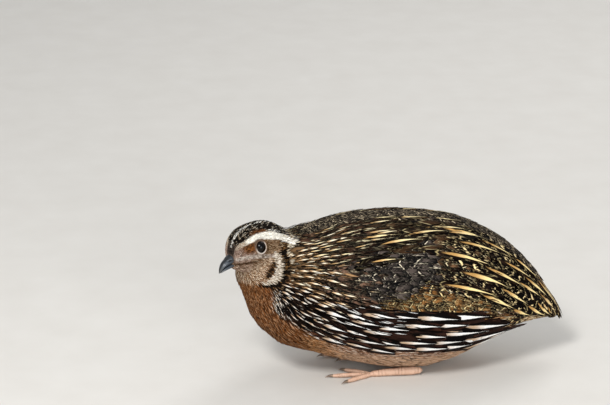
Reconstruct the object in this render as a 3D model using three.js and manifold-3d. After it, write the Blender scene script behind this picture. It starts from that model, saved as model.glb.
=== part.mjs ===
// A coturnix quail at life size, crouched on the floor with its head turned to its left.
// Millimetres, +Z up. The bird faces -Y and its left side is +X. The floor is at Z = 0, and the
// origin is on it, under the middle of the whole bird.
import * as THREE from 'three';
import { mergeVertices } from 'three/addons/utils/BufferGeometryUtils.js';
import Module from 'manifold-3d';

const wasm = await Module();
wasm.setup();

// Sizes that drive the whole bird
const GAP = 0.3; // between neighbouring pieces
const HEAD_AT = [4, -70.5, 70.4]; // middle of the head
const HEAD_YAW = 33; // degrees, to the bird's left
const HEAD_PITCH = 12; // degrees, bill down
const EYE_RADIUS = 3.7;
const EYE_AT = [8.2, -3.5, 1.5]; // in the head's own frame: left, back, up
const BILL_LENGTH = 11.2; // from the face to the tip
const BILL_AT = [0, -13.8, -3.6]; // where the mouth line meets the face, in the head's own frame
const WING_DEPTH = 4; // how far the folded wing reaches into the side of the body
const WING_PROUD = 1.2; // how far it stands out of the side
const FOOT_AT = [15.5, -13]; // the ball of the left foot on the floor: left, back
const SHANK_LENGTH = 26;
const SHANK_RADIUS = 1.75; // at the foot; the heel is thicker
const HEEL_RADIUS = 2.5;
const TOE_RADIUS = 1.35;
const CLAW_RADIUS = 0.85;
const FLOOR_TRIM = 0.3; // how deep the toes are pressed flat on the floor

// Cross-sections of the body from front to back: how far back, the heights of the top and the bottom,
// half the width, and how far the top leans back over the bottom. The first and last are closed ends.
const TRUNK_SECTIONS = [
  { back: -67, top: 41, bottom: 41, half: 0, lean: 0 },
  { back: -58, top: 63, bottom: 19.5, half: 22, lean: 4 },
  { back: -46, top: 76, bottom: 14, half: 32, lean: 4 },
  { back: -22, top: 81.6, bottom: 5.2, half: 37.5, lean: 2 },
  { back: 6, top: 81.8, bottom: -0.7, half: 38.5, lean: 0 },
  { back: 30, top: 77.5, bottom: 3, half: 36, lean: 2 },
  { back: 50, top: 66, bottom: 11.5, half: 30, lean: 5 },
  { back: 66, top: 51.5, bottom: 18.8, half: 21.5, lean: 5 },
  { back: 78, top: 38, bottom: 21, half: 13, lean: 2 },
  { back: 89, top: 22.5, bottom: 22.5, half: 0, lean: 0 },
];

const NECK_SECTIONS = [
  { back: -80, top: 54, bottom: 54, half: 0, lean: 0 },
  { back: -74, top: 66, bottom: 42, half: 10, lean: 2 },
  { back: -66, top: 73, bottom: 30.5, half: 15.5, lean: 6 },
  { back: -56, top: 76, bottom: 21, half: 23, lean: 8 },
  { back: -44, top: 75.5, bottom: 16.5, half: 28, lean: 6 },
  { back: -28, top: 46, bottom: 46, half: 0, lean: 0 },
];

// In the head's own frame, from the forehead to the nape
const HEAD_SECTIONS = [
  { back: -17.2, top: -0.5, bottom: -0.5, half: 0, lean: 0 },
  { back: -15, top: 5.4, bottom: -6.8, half: 5.2, lean: 1 },
  { back: -10.5, top: 9.2, bottom: -10.8, half: 9, lean: 0 },
  { back: -4, top: 11, bottom: -12.6, half: 11.2, lean: 0 },
  { back: 4, top: 10.4, bottom: -13, half: 12.2, lean: 0 },
  { back: 12, top: 7.2, bottom: -11.5, half: 11, lean: 0 },
  { back: 18.5, top: -1, bottom: -1, half: 0, lean: 0 },
];

// In the bill's own frame: the mouth line runs along Y at height 0, with the tip in front
const BILL_UPPER_SECTIONS = [
  { back: -BILL_LENGTH, top: -1.7, bottom: -1.7, half: 0, lean: 0 },
  { back: -0.91 * BILL_LENGTH, top: 0.6, bottom: -1.2, half: 1.25, lean: 0 },
  { back: -0.7 * BILL_LENGTH, top: 2.7, bottom: -0.1, half: 2.35, lean: 0 },
  { back: -0.36 * BILL_LENGTH, top: 4.3, bottom: 0, half: 3.1, lean: 0 },
  { back: 1, top: 5.2, bottom: 0, half: 3.3, lean: 0 },
  { back: 4, top: 2, bottom: 2, half: 0, lean: 0 },
];
const BILL_LOWER_SECTIONS = [
  { back: -0.94 * BILL_LENGTH, top: -1.8, bottom: -1.8, half: 0, lean: 0 },
  { back: -0.86 * BILL_LENGTH, top: -0.9, bottom: -2.3, half: 1.2, lean: 0 },
  { back: -0.62 * BILL_LENGTH, top: -0.2, bottom: -2.7, half: 2, lean: 0 },
  { back: -0.27 * BILL_LENGTH, top: -0.2, bottom: -3.1, half: 2.7, lean: 0 },
  { back: 2, top: -0.3, bottom: -3, half: 2.7, lean: 0 },
  { back: 4.5, top: -1.5, bottom: -1.5, half: 0, lean: 0 },
];

// The folded wing seen from the side: along its upper edge from the shoulder to the tip, then back
const WING_OUTLINE = [
  { back: -38, up: 60 },
  { back: -26, up: 70 },
  { back: -4, up: 75.5 },
  { back: 18, up: 73 },
  { back: 38, up: 61 },
  { back: 57, up: 38 },
  { back: 38, up: 39.5 },
  { back: 18, up: 44 },
  { back: -8, up: 50 },
  { back: -28, up: 54 },
];

// The toes of the left foot: its angle from straight ahead, its length to the claw, and the claw's
const TOES = [
  { name: 'inner', angle: -34, length: 15.5, claw: 4, knuckles: 2 },
  { name: 'middle', angle: -4, length: 20.5, claw: 4, knuckles: 3 },
  { name: 'outer', angle: 27, length: 16, claw: 4, knuckles: 3 },
  { name: 'hind', angle: 208, length: 6.5, claw: 2.4, knuckles: 1 },
];

// The thin cuts that part the body: behind the cheeks, round the neck, and across the tail's root
const CHEEK_CUT = { point: [0, -66, 60.5], normal: [-0.28, 0.65, -0.7] };
const SHOULDER_CUT = { point: [0, -51, 46], normal: [0, 0.97, -0.23] };
const TAIL_CUT = { point: [0, 62, 42], normal: [0, 0.86, -0.5] };

// How many faces go round each piece and along it
const FACES = {
  trunk: [26, 20],
  wing: [20, 14],
  neck: [20, 13],
  head: [20, 15],
  bill: [12, 10],
  eye: [14, 10],
  toe: [8, 8],
  claw: [6, 5],
};
const WING_EDGE_STEPS = 4; // between two points of the wing's outline

const matte = (color, roughness) => new THREE.MeshStandardMaterial({ color, roughness, metalness: 0 });
const finishes = {
  back: matte('#4d3d2e', 0.85),
  head: matte('#8a6a4c', 0.85),
  breast: matte('#9a6a4e', 0.85),
  wing: matte('#5d4f40', 0.85),
  tail: matte('#54432f', 0.85),
  bill: matte('#4a4c4f', 0.4),
  eye: matte('#120c08', 0.05),
  leg: matte('#c39a78', 0.55),
  claw: matte('#8d7763', 0.45),
};

// A closed geometry as a solid, turned right side out.
function solidOf(geometry) {
  const bare = geometry.clone();
  bare.deleteAttribute('normal');
  bare.deleteAttribute('uv');
  const merged = mergeVertices(bare, 1e-4);
  const vertProperties = new Float32Array(merged.attributes.position.array);
  const triVerts = new Uint32Array(merged.index.array);
  const solid = new wasm.Manifold(new wasm.Mesh({ numProp: 3, vertProperties, triVerts }));
  if (solid.volume() > 0) return solid;
  for (let i = 0; i < triVerts.length; i += 3) {
    [triVerts[i + 1], triVerts[i + 2]] = [triVerts[i + 2], triVerts[i + 1]];
  }
  return new wasm.Manifold(new wasm.Mesh({ numProp: 3, vertProperties, triVerts }));
}

// A solid as a named mesh.
function piece(name, solid, material) {
  const { vertProperties, triVerts } = solid.getMesh();
  const geometry = new THREE.BufferGeometry();
  geometry.setAttribute('position', new THREE.BufferAttribute(new Float32Array(vertProperties), 3));
  geometry.setIndex(new THREE.BufferAttribute(new Uint32Array(triVerts), 1));
  geometry.computeVertexNormals();
  const mesh = new THREE.Mesh(geometry, material);
  mesh.name = name;
  return mesh;
}

// A sphere whose vertices are moved to place(along, around), both from 0 to 1.
function wrapped([sides, rings], place) {
  const geometry = new THREE.SphereGeometry(1, sides, rings);
  const { position, uv } = geometry.attributes;
  for (let i = 0; i < position.count; i++) {
    const spot = place(1 - uv.getY(i), uv.getX(i));
    position.setXYZ(i, spot.x, spot.y, spot.z);
  }
  return solidOf(geometry);
}

// A smooth solid over cross-sections. grow moves its surface outwards all round.
function loft(sections, faces, grow = 0) {
  const front = sections[0];
  const rear = sections[sections.length - 1];
  const between = sections.slice(1, -1);
  const start = new THREE.Vector3(0, front.back - grow, front.top);
  const end = new THREE.Vector3(0, rear.back + grow, rear.top);
  const crest = (s) => new THREE.Vector3(0, s.back + s.lean, s.top + grow);
  const keel = (s) => new THREE.Vector3(0, s.back - s.lean, s.bottom - grow);
  const flank = (side) => (s) => new THREE.Vector3(side * (s.half + grow), s.back, (s.top + s.bottom) / 2);
  const ring = (there, return_) => {
    const points = [start, ...between.map(there), end, ...between.map(return_).reverse()];
    return new THREE.CatmullRomCurve3(points, true, 'catmullrom');
  };
  const profile = ring(crest, keel);
  const plan = ring(flank(1), flank(-1));
  return wrapped(faces, (along, around) => {
    const turn = 2 * Math.PI * around;
    const side = plan.getPoint(along / 2);
    const middle = new THREE.Vector3(0, side.y, side.z);
    const rim = profile.getPoint(Math.cos(turn) > 0 ? along / 2 : 1 - along / 2);
    const up = rim.sub(middle).multiplyScalar(Math.abs(Math.cos(turn)));
    return middle.add(up).add(new THREE.Vector3(side.x * Math.sin(turn), 0, 0));
  });
}

// A round-ended limb along a curve. radius(share) is its radius from 0 at the start to 1 at the end.
function limb(points, faces, radius) {
  const path = new THREE.CatmullRomCurve3(points, false, 'centripetal');
  return wrapped(faces, (along, around) => {
    const share = (1 - Math.cos(Math.PI * along)) / 2;
    const ahead = path.getTangent(share);
    const across = new THREE.Vector3(0, 0, 1).cross(ahead).normalize();
    const up = ahead.clone().cross(across);
    const turn = 2 * Math.PI * (around + 0.5 / faces[0]);
    const rounding = Math.sqrt(1 - Math.pow(Math.abs(2 * share - 1), 8));
    const reach = along > 0 && along < 1 ? radius(share) * rounding : 0;
    return path
      .getPoint(share)
      .addScaledVector(across, reach * Math.cos(turn))
      .addScaledVector(up, reach * Math.sin(turn));
  });
}

// All the room beyond a plane, on the side that its normal points to.
function beyond(point, normal, shift = 0) {
  const size = 400;
  const box = new THREE.BoxGeometry(size, size, size).translate(0, 0, size / 2 + shift);
  const turn = new THREE.Quaternion().setFromUnitVectors(
    new THREE.Vector3(0, 0, 1),
    new THREE.Vector3(...normal).normalize(),
  );
  return solidOf(box.applyQuaternion(turn).translate(...point));
}

const behind = ({ point, normal }) => beyond(point, normal, GAP / 2);
const before = ({ point, normal }) => beyond(point, normal.map((n) => -n), GAP / 2);
const mirrored = (solid) => solid.mirror([1, 0, 0]);
const onBothSides = (solid) => solid.add(mirrored(solid));
const aboveFloor = beyond([0, 0, 0], [0, 0, 1]);

// Moves what is built in the head's own frame to its place: nodded, turned and lifted.
const headFrame = new THREE.Matrix4()
  .makeTranslation(...HEAD_AT)
  .multiply(new THREE.Matrix4().makeRotationZ(THREE.MathUtils.degToRad(HEAD_YAW)))
  .multiply(new THREE.Matrix4().makeRotationX(THREE.MathUtils.degToRad(HEAD_PITCH)));
const onHead = (solid) => solid.transform(headFrame.toArray());

function eyeball(side, grow = 0) {
  const ball = new THREE.SphereGeometry(EYE_RADIUS + grow, ...FACES.eye);
  return onHead(solidOf(ball.translate(side * EYE_AT[0], EYE_AT[1], EYE_AT[2])));
}

function billUpper(grow = 0) {
  return onHead(loft(BILL_UPPER_SECTIONS, FACES.bill, grow).translate(BILL_AT));
}

function billLower(grow = 0) {
  return onHead(loft(BILL_LOWER_SECTIONS, FACES.bill, grow).translate(BILL_AT));
}

// Head, neck, trunk and tail as one solid, before they are parted.
function wholeBody() {
  const trunk = loft(TRUNK_SECTIONS, FACES.trunk);
  const neck = loft(NECK_SECTIONS, FACES.neck);
  const head = onHead(loft(HEAD_SECTIONS, FACES.head));
  return trunk.add(neck).add(head).intersect(aboveFloor);
}

// The wing's outline as a thick slab, from inside the body to well outside its left side.
function wingSlab(grow) {
  const middle = new THREE.Vector2();
  for (const { back, up } of WING_OUTLINE) middle.add(new THREE.Vector2(back, up));
  middle.divideScalar(WING_OUTLINE.length);
  const points = WING_OUTLINE.map(({ back, up }) => {
    const away = new THREE.Vector2(back, up).sub(middle);
    return away.setLength(away.length() + grow).add(middle);
  });
  const shape = new THREE.Shape().moveTo(points[0].x, points[0].y);
  shape.splineThru([...points.slice(1), points[0]]);
  const slab = new THREE.ExtrudeGeometry(shape, {
    depth: 60,
    bevelEnabled: false,
    curveSegments: WING_EDGE_STEPS,
  });
  const standing = new THREE.Matrix4().makeBasis(
    new THREE.Vector3(0, 1, 0),
    new THREE.Vector3(0, 0, 1),
    new THREE.Vector3(1, 0, 0),
  );
  return solidOf(slab.applyMatrix4(standing).translate(6, 0, 0));
}

function wing() {
  const outside = loft(TRUNK_SECTIONS, FACES.wing, WING_PROUD);
  const inside = loft(TRUNK_SECTIONS, FACES.wing, -WING_DEPTH);
  return outside.intersect(wingSlab(0)).subtract(inside);
}

// The room that the wing takes out of the trunk.
function wingPocket() {
  return wingSlab(GAP).subtract(loft(TRUNK_SECTIONS, FACES.wing, -WING_DEPTH - GAP));
}

// The shank lies along the floor under the body, from the foot back to the heel.
function shankAndHeel(grow = 0) {
  const [x, y] = FOOT_AT;
  const points = [
    new THREE.Vector3(x, y - 1, TOE_RADIUS),
    new THREE.Vector3(x + 0.5, y + 8, SHANK_RADIUS + 0.3),
    new THREE.Vector3(x + 1.5, y + SHANK_LENGTH, HEEL_RADIUS + 0.1),
  ];
  return limb(points, FACES.toe, (share) => {
    return THREE.MathUtils.lerp(SHANK_RADIUS, HEEL_RADIUS, share * share) + grow;
  });
}

function toeDirection({ angle }) {
  const turn = THREE.MathUtils.degToRad(angle);
  return new THREE.Vector3(Math.sin(turn), -Math.cos(turn), 0);
}

// One toe, from the ball of the foot outwards, with a swelling at each knuckle.
function toe(spec, grow = 0) {
  const ball = new THREE.Vector3(...FOOT_AT, TOE_RADIUS - FLOOR_TRIM);
  const ahead = toeDirection(spec);
  const arch = ball.clone().addScaledVector(ahead, spec.length / 2).add(new THREE.Vector3(0, 0, 0.2));
  const end = ball.clone().addScaledVector(ahead, spec.length);
  return limb([ball, arch, end], FACES.toe, (share) => {
    const swelling = 1 + 0.07 * Math.cos(2 * Math.PI * spec.knuckles * share);
    return (TOE_RADIUS - 0.3 * share) * swelling + grow;
  });
}

function claw(spec) {
  const ahead = toeDirection(spec);
  const root = new THREE.Vector3(...FOOT_AT, CLAW_RADIUS + 0.3).addScaledVector(ahead, spec.length - 0.9);
  const middle = root.clone().addScaledVector(ahead, spec.claw * 0.5);
  const tip = root.clone().addScaledVector(ahead, spec.claw).setZ(CLAW_RADIUS - 0.3);
  const horn = limb([root, middle, tip], FACES.claw, (share) => CLAW_RADIUS * (1 - 0.6 * share));
  return horn.subtract(toe(spec, GAP)).subtract(shankAndHeel(GAP)).intersect(aboveFloor);
}

// The left shank and foot, parted by a cut at the ankle.
function leg() {
  const ankleCut = { point: [FOOT_AT[0], FOOT_AT[1] + 2.6, 0], normal: [0, 1, 0] };
  const toes = (grow) => TOES.map((spec) => toe(spec, grow)).reduce((sum, next) => sum.add(next));
  return {
    shank: shankAndHeel().intersect(behind(ankleCut)).subtract(toes(GAP)),
    foot: shankAndHeel().intersect(before(ankleCut)).add(toes(0)).intersect(aboveFloor),
  };
}

const body = wholeBody();
const eyeRoom = eyeball(1, GAP).add(eyeball(-1, GAP));
const billRoom = billUpper(GAP).add(billLower(GAP));
const wingRoom = onBothSides(wingPocket());
const shankRoom = onBothSides(shankAndHeel(GAP));
const leftWing = wing();
const leftLeg = leg();

const head = body.intersect(before(CHEEK_CUT)).subtract(eyeRoom).subtract(billRoom);
const rest = body.intersect(behind(CHEEK_CUT));
const neck = rest.intersect(before(SHOULDER_CUT));
const trunk = rest
  .intersect(behind(SHOULDER_CUT))
  .intersect(before(TAIL_CUT))
  .subtract(wingRoom)
  .subtract(shankRoom);
const tail = rest.intersect(behind(TAIL_CUT)).subtract(wingRoom);

const bird = new THREE.Group();
bird.add(piece('head', head, finishes.head));
bird.add(piece('neck', neck, finishes.breast));
bird.add(piece('trunk', trunk, finishes.back));
bird.add(piece('tail', tail, finishes.tail));
bird.add(piece('bill_upper', billUpper(), finishes.bill));
bird.add(piece('bill_lower', billLower().subtract(billUpper(GAP)), finishes.bill));
bird.add(piece('eye_left', eyeball(1), finishes.eye));
bird.add(piece('eye_right', eyeball(-1), finishes.eye));
for (const [side, turned] of [['left', (solid) => solid], ['right', mirrored]]) {
  bird.add(piece(`wing_${side}`, turned(leftWing), finishes.wing));
  bird.add(piece(`shank_${side}`, turned(leftLeg.shank), finishes.leg));
  bird.add(piece(`foot_${side}`, turned(leftLeg.foot), finishes.leg));
  for (const spec of TOES) {
    bird.add(piece(`claw_${side}_${spec.name}`, turned(claw(spec)), finishes.claw));
  }
}

// The origin: on the floor, under the middle of the whole bird
const middle = new THREE.Box3().setFromObject(bird, true).getCenter(new THREE.Vector3());
bird.position.set(-middle.x, -middle.y, 0);

export default bird;
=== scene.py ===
"""A coturnix quail crouched on a floor, at life size: its skin, coat of feathers, eyes, bill and feet.

Shapes are worked out in millimetres and made in metres. +Z is up, the bird faces -Y, its left is +X,
and its head is turned to its left.
"""

import logging
import math
from dataclasses import dataclass
from enum import Enum

import bmesh
import bpy
import numpy as np
from mathutils import Matrix, Vector, noise
from mathutils.bvhtree import BVHTree
from mathutils.kdtree import KDTree


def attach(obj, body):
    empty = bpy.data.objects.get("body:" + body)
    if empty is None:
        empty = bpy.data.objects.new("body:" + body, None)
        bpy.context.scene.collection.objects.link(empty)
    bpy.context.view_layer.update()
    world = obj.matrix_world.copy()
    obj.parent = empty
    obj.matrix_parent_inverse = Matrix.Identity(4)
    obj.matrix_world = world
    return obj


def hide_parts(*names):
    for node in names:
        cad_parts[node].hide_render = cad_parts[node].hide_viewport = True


MM = 0.001
SAME_SPOT = 1e-6
FLESH = ("head", "neck", "trunk", "tail", "wing_left", "wing_right")
SIDES = {"left": 1, "right": -1}
TOES = {"inner": (-34, 15.5), "middle": (-4, 20.5), "outer": (27, 16.0), "hind": (208, 6.5)}
LOG = logging.getLogger("quail")
Line = tuple[tuple[float, float], ...]
Sections = tuple[tuple[float, float, float, float], ...]

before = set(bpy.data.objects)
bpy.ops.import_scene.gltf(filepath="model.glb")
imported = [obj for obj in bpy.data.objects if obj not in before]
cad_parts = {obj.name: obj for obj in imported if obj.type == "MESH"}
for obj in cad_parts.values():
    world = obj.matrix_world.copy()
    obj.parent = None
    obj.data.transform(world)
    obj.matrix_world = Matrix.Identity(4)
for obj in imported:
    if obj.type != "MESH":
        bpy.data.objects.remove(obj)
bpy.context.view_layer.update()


# Numbers and places

def ramp(values: np.ndarray, low: float, high: float) -> np.ndarray:
    """How far values have come from low to high, from 0 to 1, eased at both ends."""
    share = np.clip((values - low) / (high - low), 0, 1)
    return share * share * (3 - 2 * share)


def unit(vectors: np.ndarray) -> np.ndarray:
    """The vectors at length 1."""
    return vectors / np.maximum(np.linalg.norm(vectors, axis=-1, keepdims=True), 1e-9)


def along_surface(vectors: np.ndarray, normals: np.ndarray) -> np.ndarray:
    """The vectors at length 1, turned into the surface that the normals stand on."""
    return unit(vectors - (vectors * normals).sum(-1, keepdims=True) * normals)


def tint(code: str) -> np.ndarray:
    """The linear colour that a six-figure web code names."""
    parts = np.array([int(code[i:i + 2], 16) for i in (0, 2, 4)]) / 255
    return np.where(parts <= 0.04045, parts / 12.92, ((parts + 0.055) / 1.055) ** 2.4)


def line_gap(points: np.ndarray, line: Line) -> np.ndarray:
    """How far each point of a plane is from a line of straight stretches."""
    gaps = []
    for start, end in zip(line[:-1], line[1:]):
        a, run = np.array(start, float), np.array(end, float) - np.array(start, float)
        share = np.clip(((points - a) @ run) / (run @ run), 0, 1)
        gaps.append(np.linalg.norm(points - a - share[:, None] * run, axis=1))
    return np.min(gaps, axis=0)


def smooth_line(points: np.ndarray, shares: np.ndarray) -> np.ndarray:
    """Places on the smooth curve through the points.

    Args:
        points: the points that the curve goes through.
        shares: how far along, from 0 to 1, with each stretch between two points as long as the others.

    Returns:
        One row for each share.
    """
    points = np.asarray(points, float)
    padded = np.vstack([2 * points[0] - points[1], points, 2 * points[-1] - points[-2]])
    spot = np.clip(shares, 0, 1) * (len(points) - 1)
    first = np.minimum(spot.astype(int), len(points) - 2)
    t = (spot - first)[:, None]
    a, b, c, d = (padded[first + i] for i in range(4))
    square, cube = 2 * a - 5 * b + 4 * c - d, 3 * b - a - 3 * c + d
    return 0.5 * (2 * b + (c - a) * t + square * t ** 2 + cube * t ** 3)


@dataclass(frozen=True)
class HeadPose:
    """Where the head is held: its middle, how far it turns to the left and how far it nods.

    Its unwrap goes round a line that runs as far below its middle as core says.
    """

    middle: tuple[float, float, float] = (4.0, -69.86, 70.4)
    yaw: float = 33.0
    nod: float = 12.0
    core: float = 4.0

    def turn(self) -> np.ndarray:
        """The head's own left, back and up as columns."""
        yaw = Matrix.Rotation(math.radians(self.yaw), 3, "Z")
        nod = Matrix.Rotation(math.radians(self.nod), 3, "X")
        return np.array(yaw @ nod)

    def inward(self, points: np.ndarray) -> np.ndarray:
        """Points of the bird in the head's own left, back and up."""
        return (points - np.array(self.middle)) @ self.turn()

    def outward(self, points: np.ndarray) -> np.ndarray:
        """Points of the head's own frame in the bird's."""
        return points @ self.turn().T + np.array(self.middle)


@dataclass(frozen=True)
class EyeOpening:
    """Where an eyeball sits in the head's own frame, and the opening between its lids."""

    middle: tuple[float, float, float] = (8.2, -3.5, 1.7)
    radius: float = 3.65
    look: tuple[float, float, float] = (0.84, -0.3, 0.42)
    half_length: float = 2.15
    half_height: float = 2.9
    lean: float = 12.0
    behind: float = 9.0

    def axes(self, side: int) -> tuple[np.ndarray, np.ndarray]:
        """The eyeball's middle, and its look, back and up directions as rows.

        Args:
            side: 1 for the left eye and -1 for the right one.

        Returns:
            The middle and the three directions, in the head's own frame.
        """
        mirror = np.array((side, 1, 1))
        look = unit(np.array(self.look) * mirror)
        back = along_surface(np.array((0.0, 1.0, 0.0)), look)
        up = along_surface(np.array((0.0, 0.0, 1.0)) - back * back[2], look)
        lean = math.radians(self.lean)
        long = back * math.cos(lean) - up * math.sin(lean)
        tall = up * math.cos(lean) + back * math.sin(lean)
        return np.array(self.middle) * mirror, np.array((look, long, tall))

    def reach(self, local: np.ndarray, side: int) -> np.ndarray:
        """How far points of the head's frame lie from the opening's middle.

        Args:
            local: points in the head's own frame.
            side: 1 for the left eye and -1 for the right one.

        Returns:
            1 at the edge of the lids, and the number called behind for points behind the eyeball's middle.
        """
        middle, (look, back, up) = self.axes(side)
        gap = local - middle
        flat = np.hypot(gap @ back / self.half_length, gap @ up / self.half_height)
        return np.where(gap @ look > 0, flat, self.behind)

    def nearer_reach(self, local: np.ndarray) -> np.ndarray:
        """How far points of the head's frame lie from the nearer eye's opening."""
        return np.minimum(self.reach(local, 1), self.reach(local, -1))


@dataclass(frozen=True)
class BodyChart:
    """Where a point lies on the body: how far back, and how far round from the spine to the belly."""

    backs: tuple[float, ...] = (-80, -50, -20, 10, 30, 50, 70, 90)
    core: tuple[float, ...] = (48, 46, 42, 42, 40, 36, 30, 24)
    pivot: tuple[float, ...] = (50, 46, 42, 40, 32, 18, 8, -4)
    clear: float = 120.0

    def girth(self, points: np.ndarray) -> np.ndarray:
        """How far round the body's core each point is: 0 on the spine and 1 under the belly."""
        height = points[:, 2] - np.interp(points[:, 1], self.backs, self.core)
        return np.arctan2(np.abs(points[:, 0]), height) / math.pi

    def outside(self, backs: np.ndarray, girths: np.ndarray,
                sides: np.ndarray) -> tuple[np.ndarray, np.ndarray]:
        """Rays from far outside the body towards the pivots of its rows.

        Args:
            backs: how far back each ray meets the body.
            girths: how far round from the spine.
            sides: 1 for left and -1 for right.

        Returns:
            The starts and the directions.
        """
        angle = math.pi * girths
        away = np.stack([np.sin(angle) * sides, np.zeros_like(backs), np.cos(angle)], 1)
        middle = np.stack([np.zeros_like(backs), backs, np.interp(backs, self.backs, self.pivot)], 1)
        return middle + self.clear * away, -away


HEAD = HeadPose()
EYE = EyeOpening()
CHART = BodyChart()


# Meshes

def joined_mesh(name: str, points: np.ndarray, triangles: np.ndarray,
                maps: dict[str, np.ndarray] | None = None,
                colours: dict[str, np.ndarray] | None = None,
                vectors: dict[str, np.ndarray] | None = None) -> bpy.types.Object:
    """An object of many like shapes joined into one mesh.

    Args:
        name: the object's name.
        points: the vertices in millimetres.
        triangles: three vertex numbers for each face.
        maps: a UV place for each vertex, by the map's name.
        colours: a colour for each vertex, by the attribute's name.
        vectors: three numbers for each vertex, by the attribute's name.

    Returns:
        The object, in the scene.
    """
    mesh = bpy.data.meshes.new(name)
    mesh.vertices.add(len(points))
    mesh.vertices.foreach_set("co", (points * MM).astype(np.float32).ravel())
    corners = triangles.astype(np.int32).ravel()
    mesh.loops.add(len(corners))
    mesh.loops.foreach_set("vertex_index", corners)
    mesh.polygons.add(len(triangles))
    mesh.polygons.foreach_set("loop_start", np.arange(0, len(corners), 3, dtype=np.int32))
    mesh.polygons.foreach_set("use_smooth", np.ones(len(triangles), bool))
    mesh.update(calc_edges=True)
    for title, spots in (maps or {}).items():
        layer = mesh.uv_layers.new(name=title)
        layer.data.foreach_set("uv", spots[corners].astype(np.float32).ravel())
    add_attributes(mesh, colours or {}, vectors or {})
    return in_scene(bpy.data.objects.new(name, mesh))


def add_attributes(mesh: bpy.types.Mesh, colours: dict[str, np.ndarray],
                   vectors: dict[str, np.ndarray]) -> None:
    """Gives every vertex its colours and its vectors, by the attribute's name."""
    for title, values in colours.items():
        layer = mesh.attributes.new(title, "FLOAT_COLOR", "POINT")
        rows = np.concatenate([values, np.ones((len(values), 1))], 1)
        layer.data.foreach_set("color", rows.astype(np.float32).ravel())
    for title, values in vectors.items():
        layer = mesh.attributes.new(title, "FLOAT_VECTOR", "POINT")
        layer.data.foreach_set("vector", values.astype(np.float32).ravel())


def in_scene(thing: bpy.types.Object) -> bpy.types.Object:
    """Links the object to the scene and gives it back."""
    bpy.context.scene.collection.objects.link(thing)
    return thing


def places(mesh: bpy.types.Mesh) -> np.ndarray:
    """The mesh's vertices in millimetres."""
    flat = np.empty(len(mesh.vertices) * 3, np.float32)
    mesh.vertices.foreach_get("co", flat)
    return flat.reshape(-1, 3).astype(float) / MM


def vertex_normals(mesh: bpy.types.Mesh) -> np.ndarray:
    """The mesh's vertex normals."""
    flat = np.empty(len(mesh.vertices) * 3, np.float32)
    mesh.vertex_normals.foreach_get("vector", flat)
    return flat.reshape(-1, 3).astype(float)


def move_vertices(mesh: bpy.types.Mesh, points: np.ndarray) -> None:
    """Puts the mesh's vertices at points in millimetres."""
    mesh.vertices.foreach_set("co", (points * MM).astype(np.float32).ravel())
    mesh.update()


def merged_copy(nodes: tuple[str, ...], grow: float = 0.0) -> bpy.types.Mesh:
    """One mesh of copies of CAD nodes, merged.

    Args:
        nodes: the nodes' names.
        grow: how far every face moves outwards, in millimetres.

    Returns:
        The new mesh.
    """
    bm = bmesh.new()
    for node in nodes:
        bm.from_mesh(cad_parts[node].data)
    bmesh.ops.remove_doubles(bm, verts=bm.verts, dist=SAME_SPOT)
    bmesh.ops.recalc_face_normals(bm, faces=bm.faces)
    bm.normal_update()
    for vert in bm.verts:
        vert.co += vert.normal * grow * MM
    mesh = bpy.data.meshes.new(nodes[0])
    bm.to_mesh(mesh)
    bm.free()
    return mesh


def remeshed(mesh: bpy.types.Mesh, voxel: float, smoothing: int) -> bpy.types.Mesh:
    """The outer surface of a mesh in even squares, smoothed.

    Args:
        mesh: closed shells, which may overlap.
        voxel: the squares' size in millimetres.
        smoothing: how many times the result is smoothed.

    Returns:
        The new mesh.
    """
    holder = in_scene(bpy.data.objects.new("remesh", mesh))
    modifier = holder.modifiers.new("voxels", "REMESH")
    modifier.mode = "VOXEL"
    modifier.voxel_size = voxel * MM
    graph = bpy.context.evaluated_depsgraph_get()
    result = bpy.data.meshes.new_from_object(holder.evaluated_get(graph))
    bpy.data.objects.remove(holder)
    bm = bmesh.new()
    bm.from_mesh(result)
    for _ in range(smoothing):
        bmesh.ops.smooth_vert(bm, verts=bm.verts, factor=0.5,
                              use_axis_x=True, use_axis_y=True, use_axis_z=True)
    bm.to_mesh(result)
    bm.free()
    result.polygons.foreach_set("use_smooth", np.ones(len(result.polygons), bool))
    result.update()
    return result


@dataclass(frozen=True)
class Prototype:
    """A closed round bar of length 1, cut into rings, that other shapes are bent from."""

    ring: np.ndarray
    x: np.ndarray
    y: np.ndarray
    triangles: np.ndarray

    def across(self) -> np.ndarray:
        """How far each vertex is from the middle line, from -1 to 1, with the inner ones drawn in."""
        share = self.x / np.abs(self.x).max()
        return np.sign(share) * np.abs(share) ** 3

    @classmethod
    def cut(cls, corners: int, shares: tuple[float, ...]) -> "Prototype":
        """Cuts a bar.

        Args:
            corners: how many corners it has round it.
            shares: how far along its length each ring stands, from 0 to 1.

        Returns:
            The bar.
        """
        bm = bmesh.new()
        bmesh.ops.create_cone(bm, cap_ends=True, cap_tris=False, segments=corners,
                              radius1=1, radius2=1, depth=1)
        for share in shares[1:-1]:
            whole = bm.verts[:] + bm.edges[:] + bm.faces[:]
            bmesh.ops.bisect_plane(bm, geom=whole, plane_co=(0, 0, share - 0.5), plane_no=(0, 0, 1))
        bmesh.ops.triangulate(bm, faces=bm.faces)
        bmesh.ops.recalc_face_normals(bm, faces=bm.faces)
        spots = np.array([vert.co for vert in bm.verts])
        triangles = np.array([[vert.index for vert in face.verts] for face in bm.faces])
        bm.free()
        ring = np.abs(spots[:, 2:3] + 0.5 - np.array(shares)).argmin(1)
        return cls(ring, spots[:, 0], spots[:, 1], triangles)


# Shaders

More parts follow.
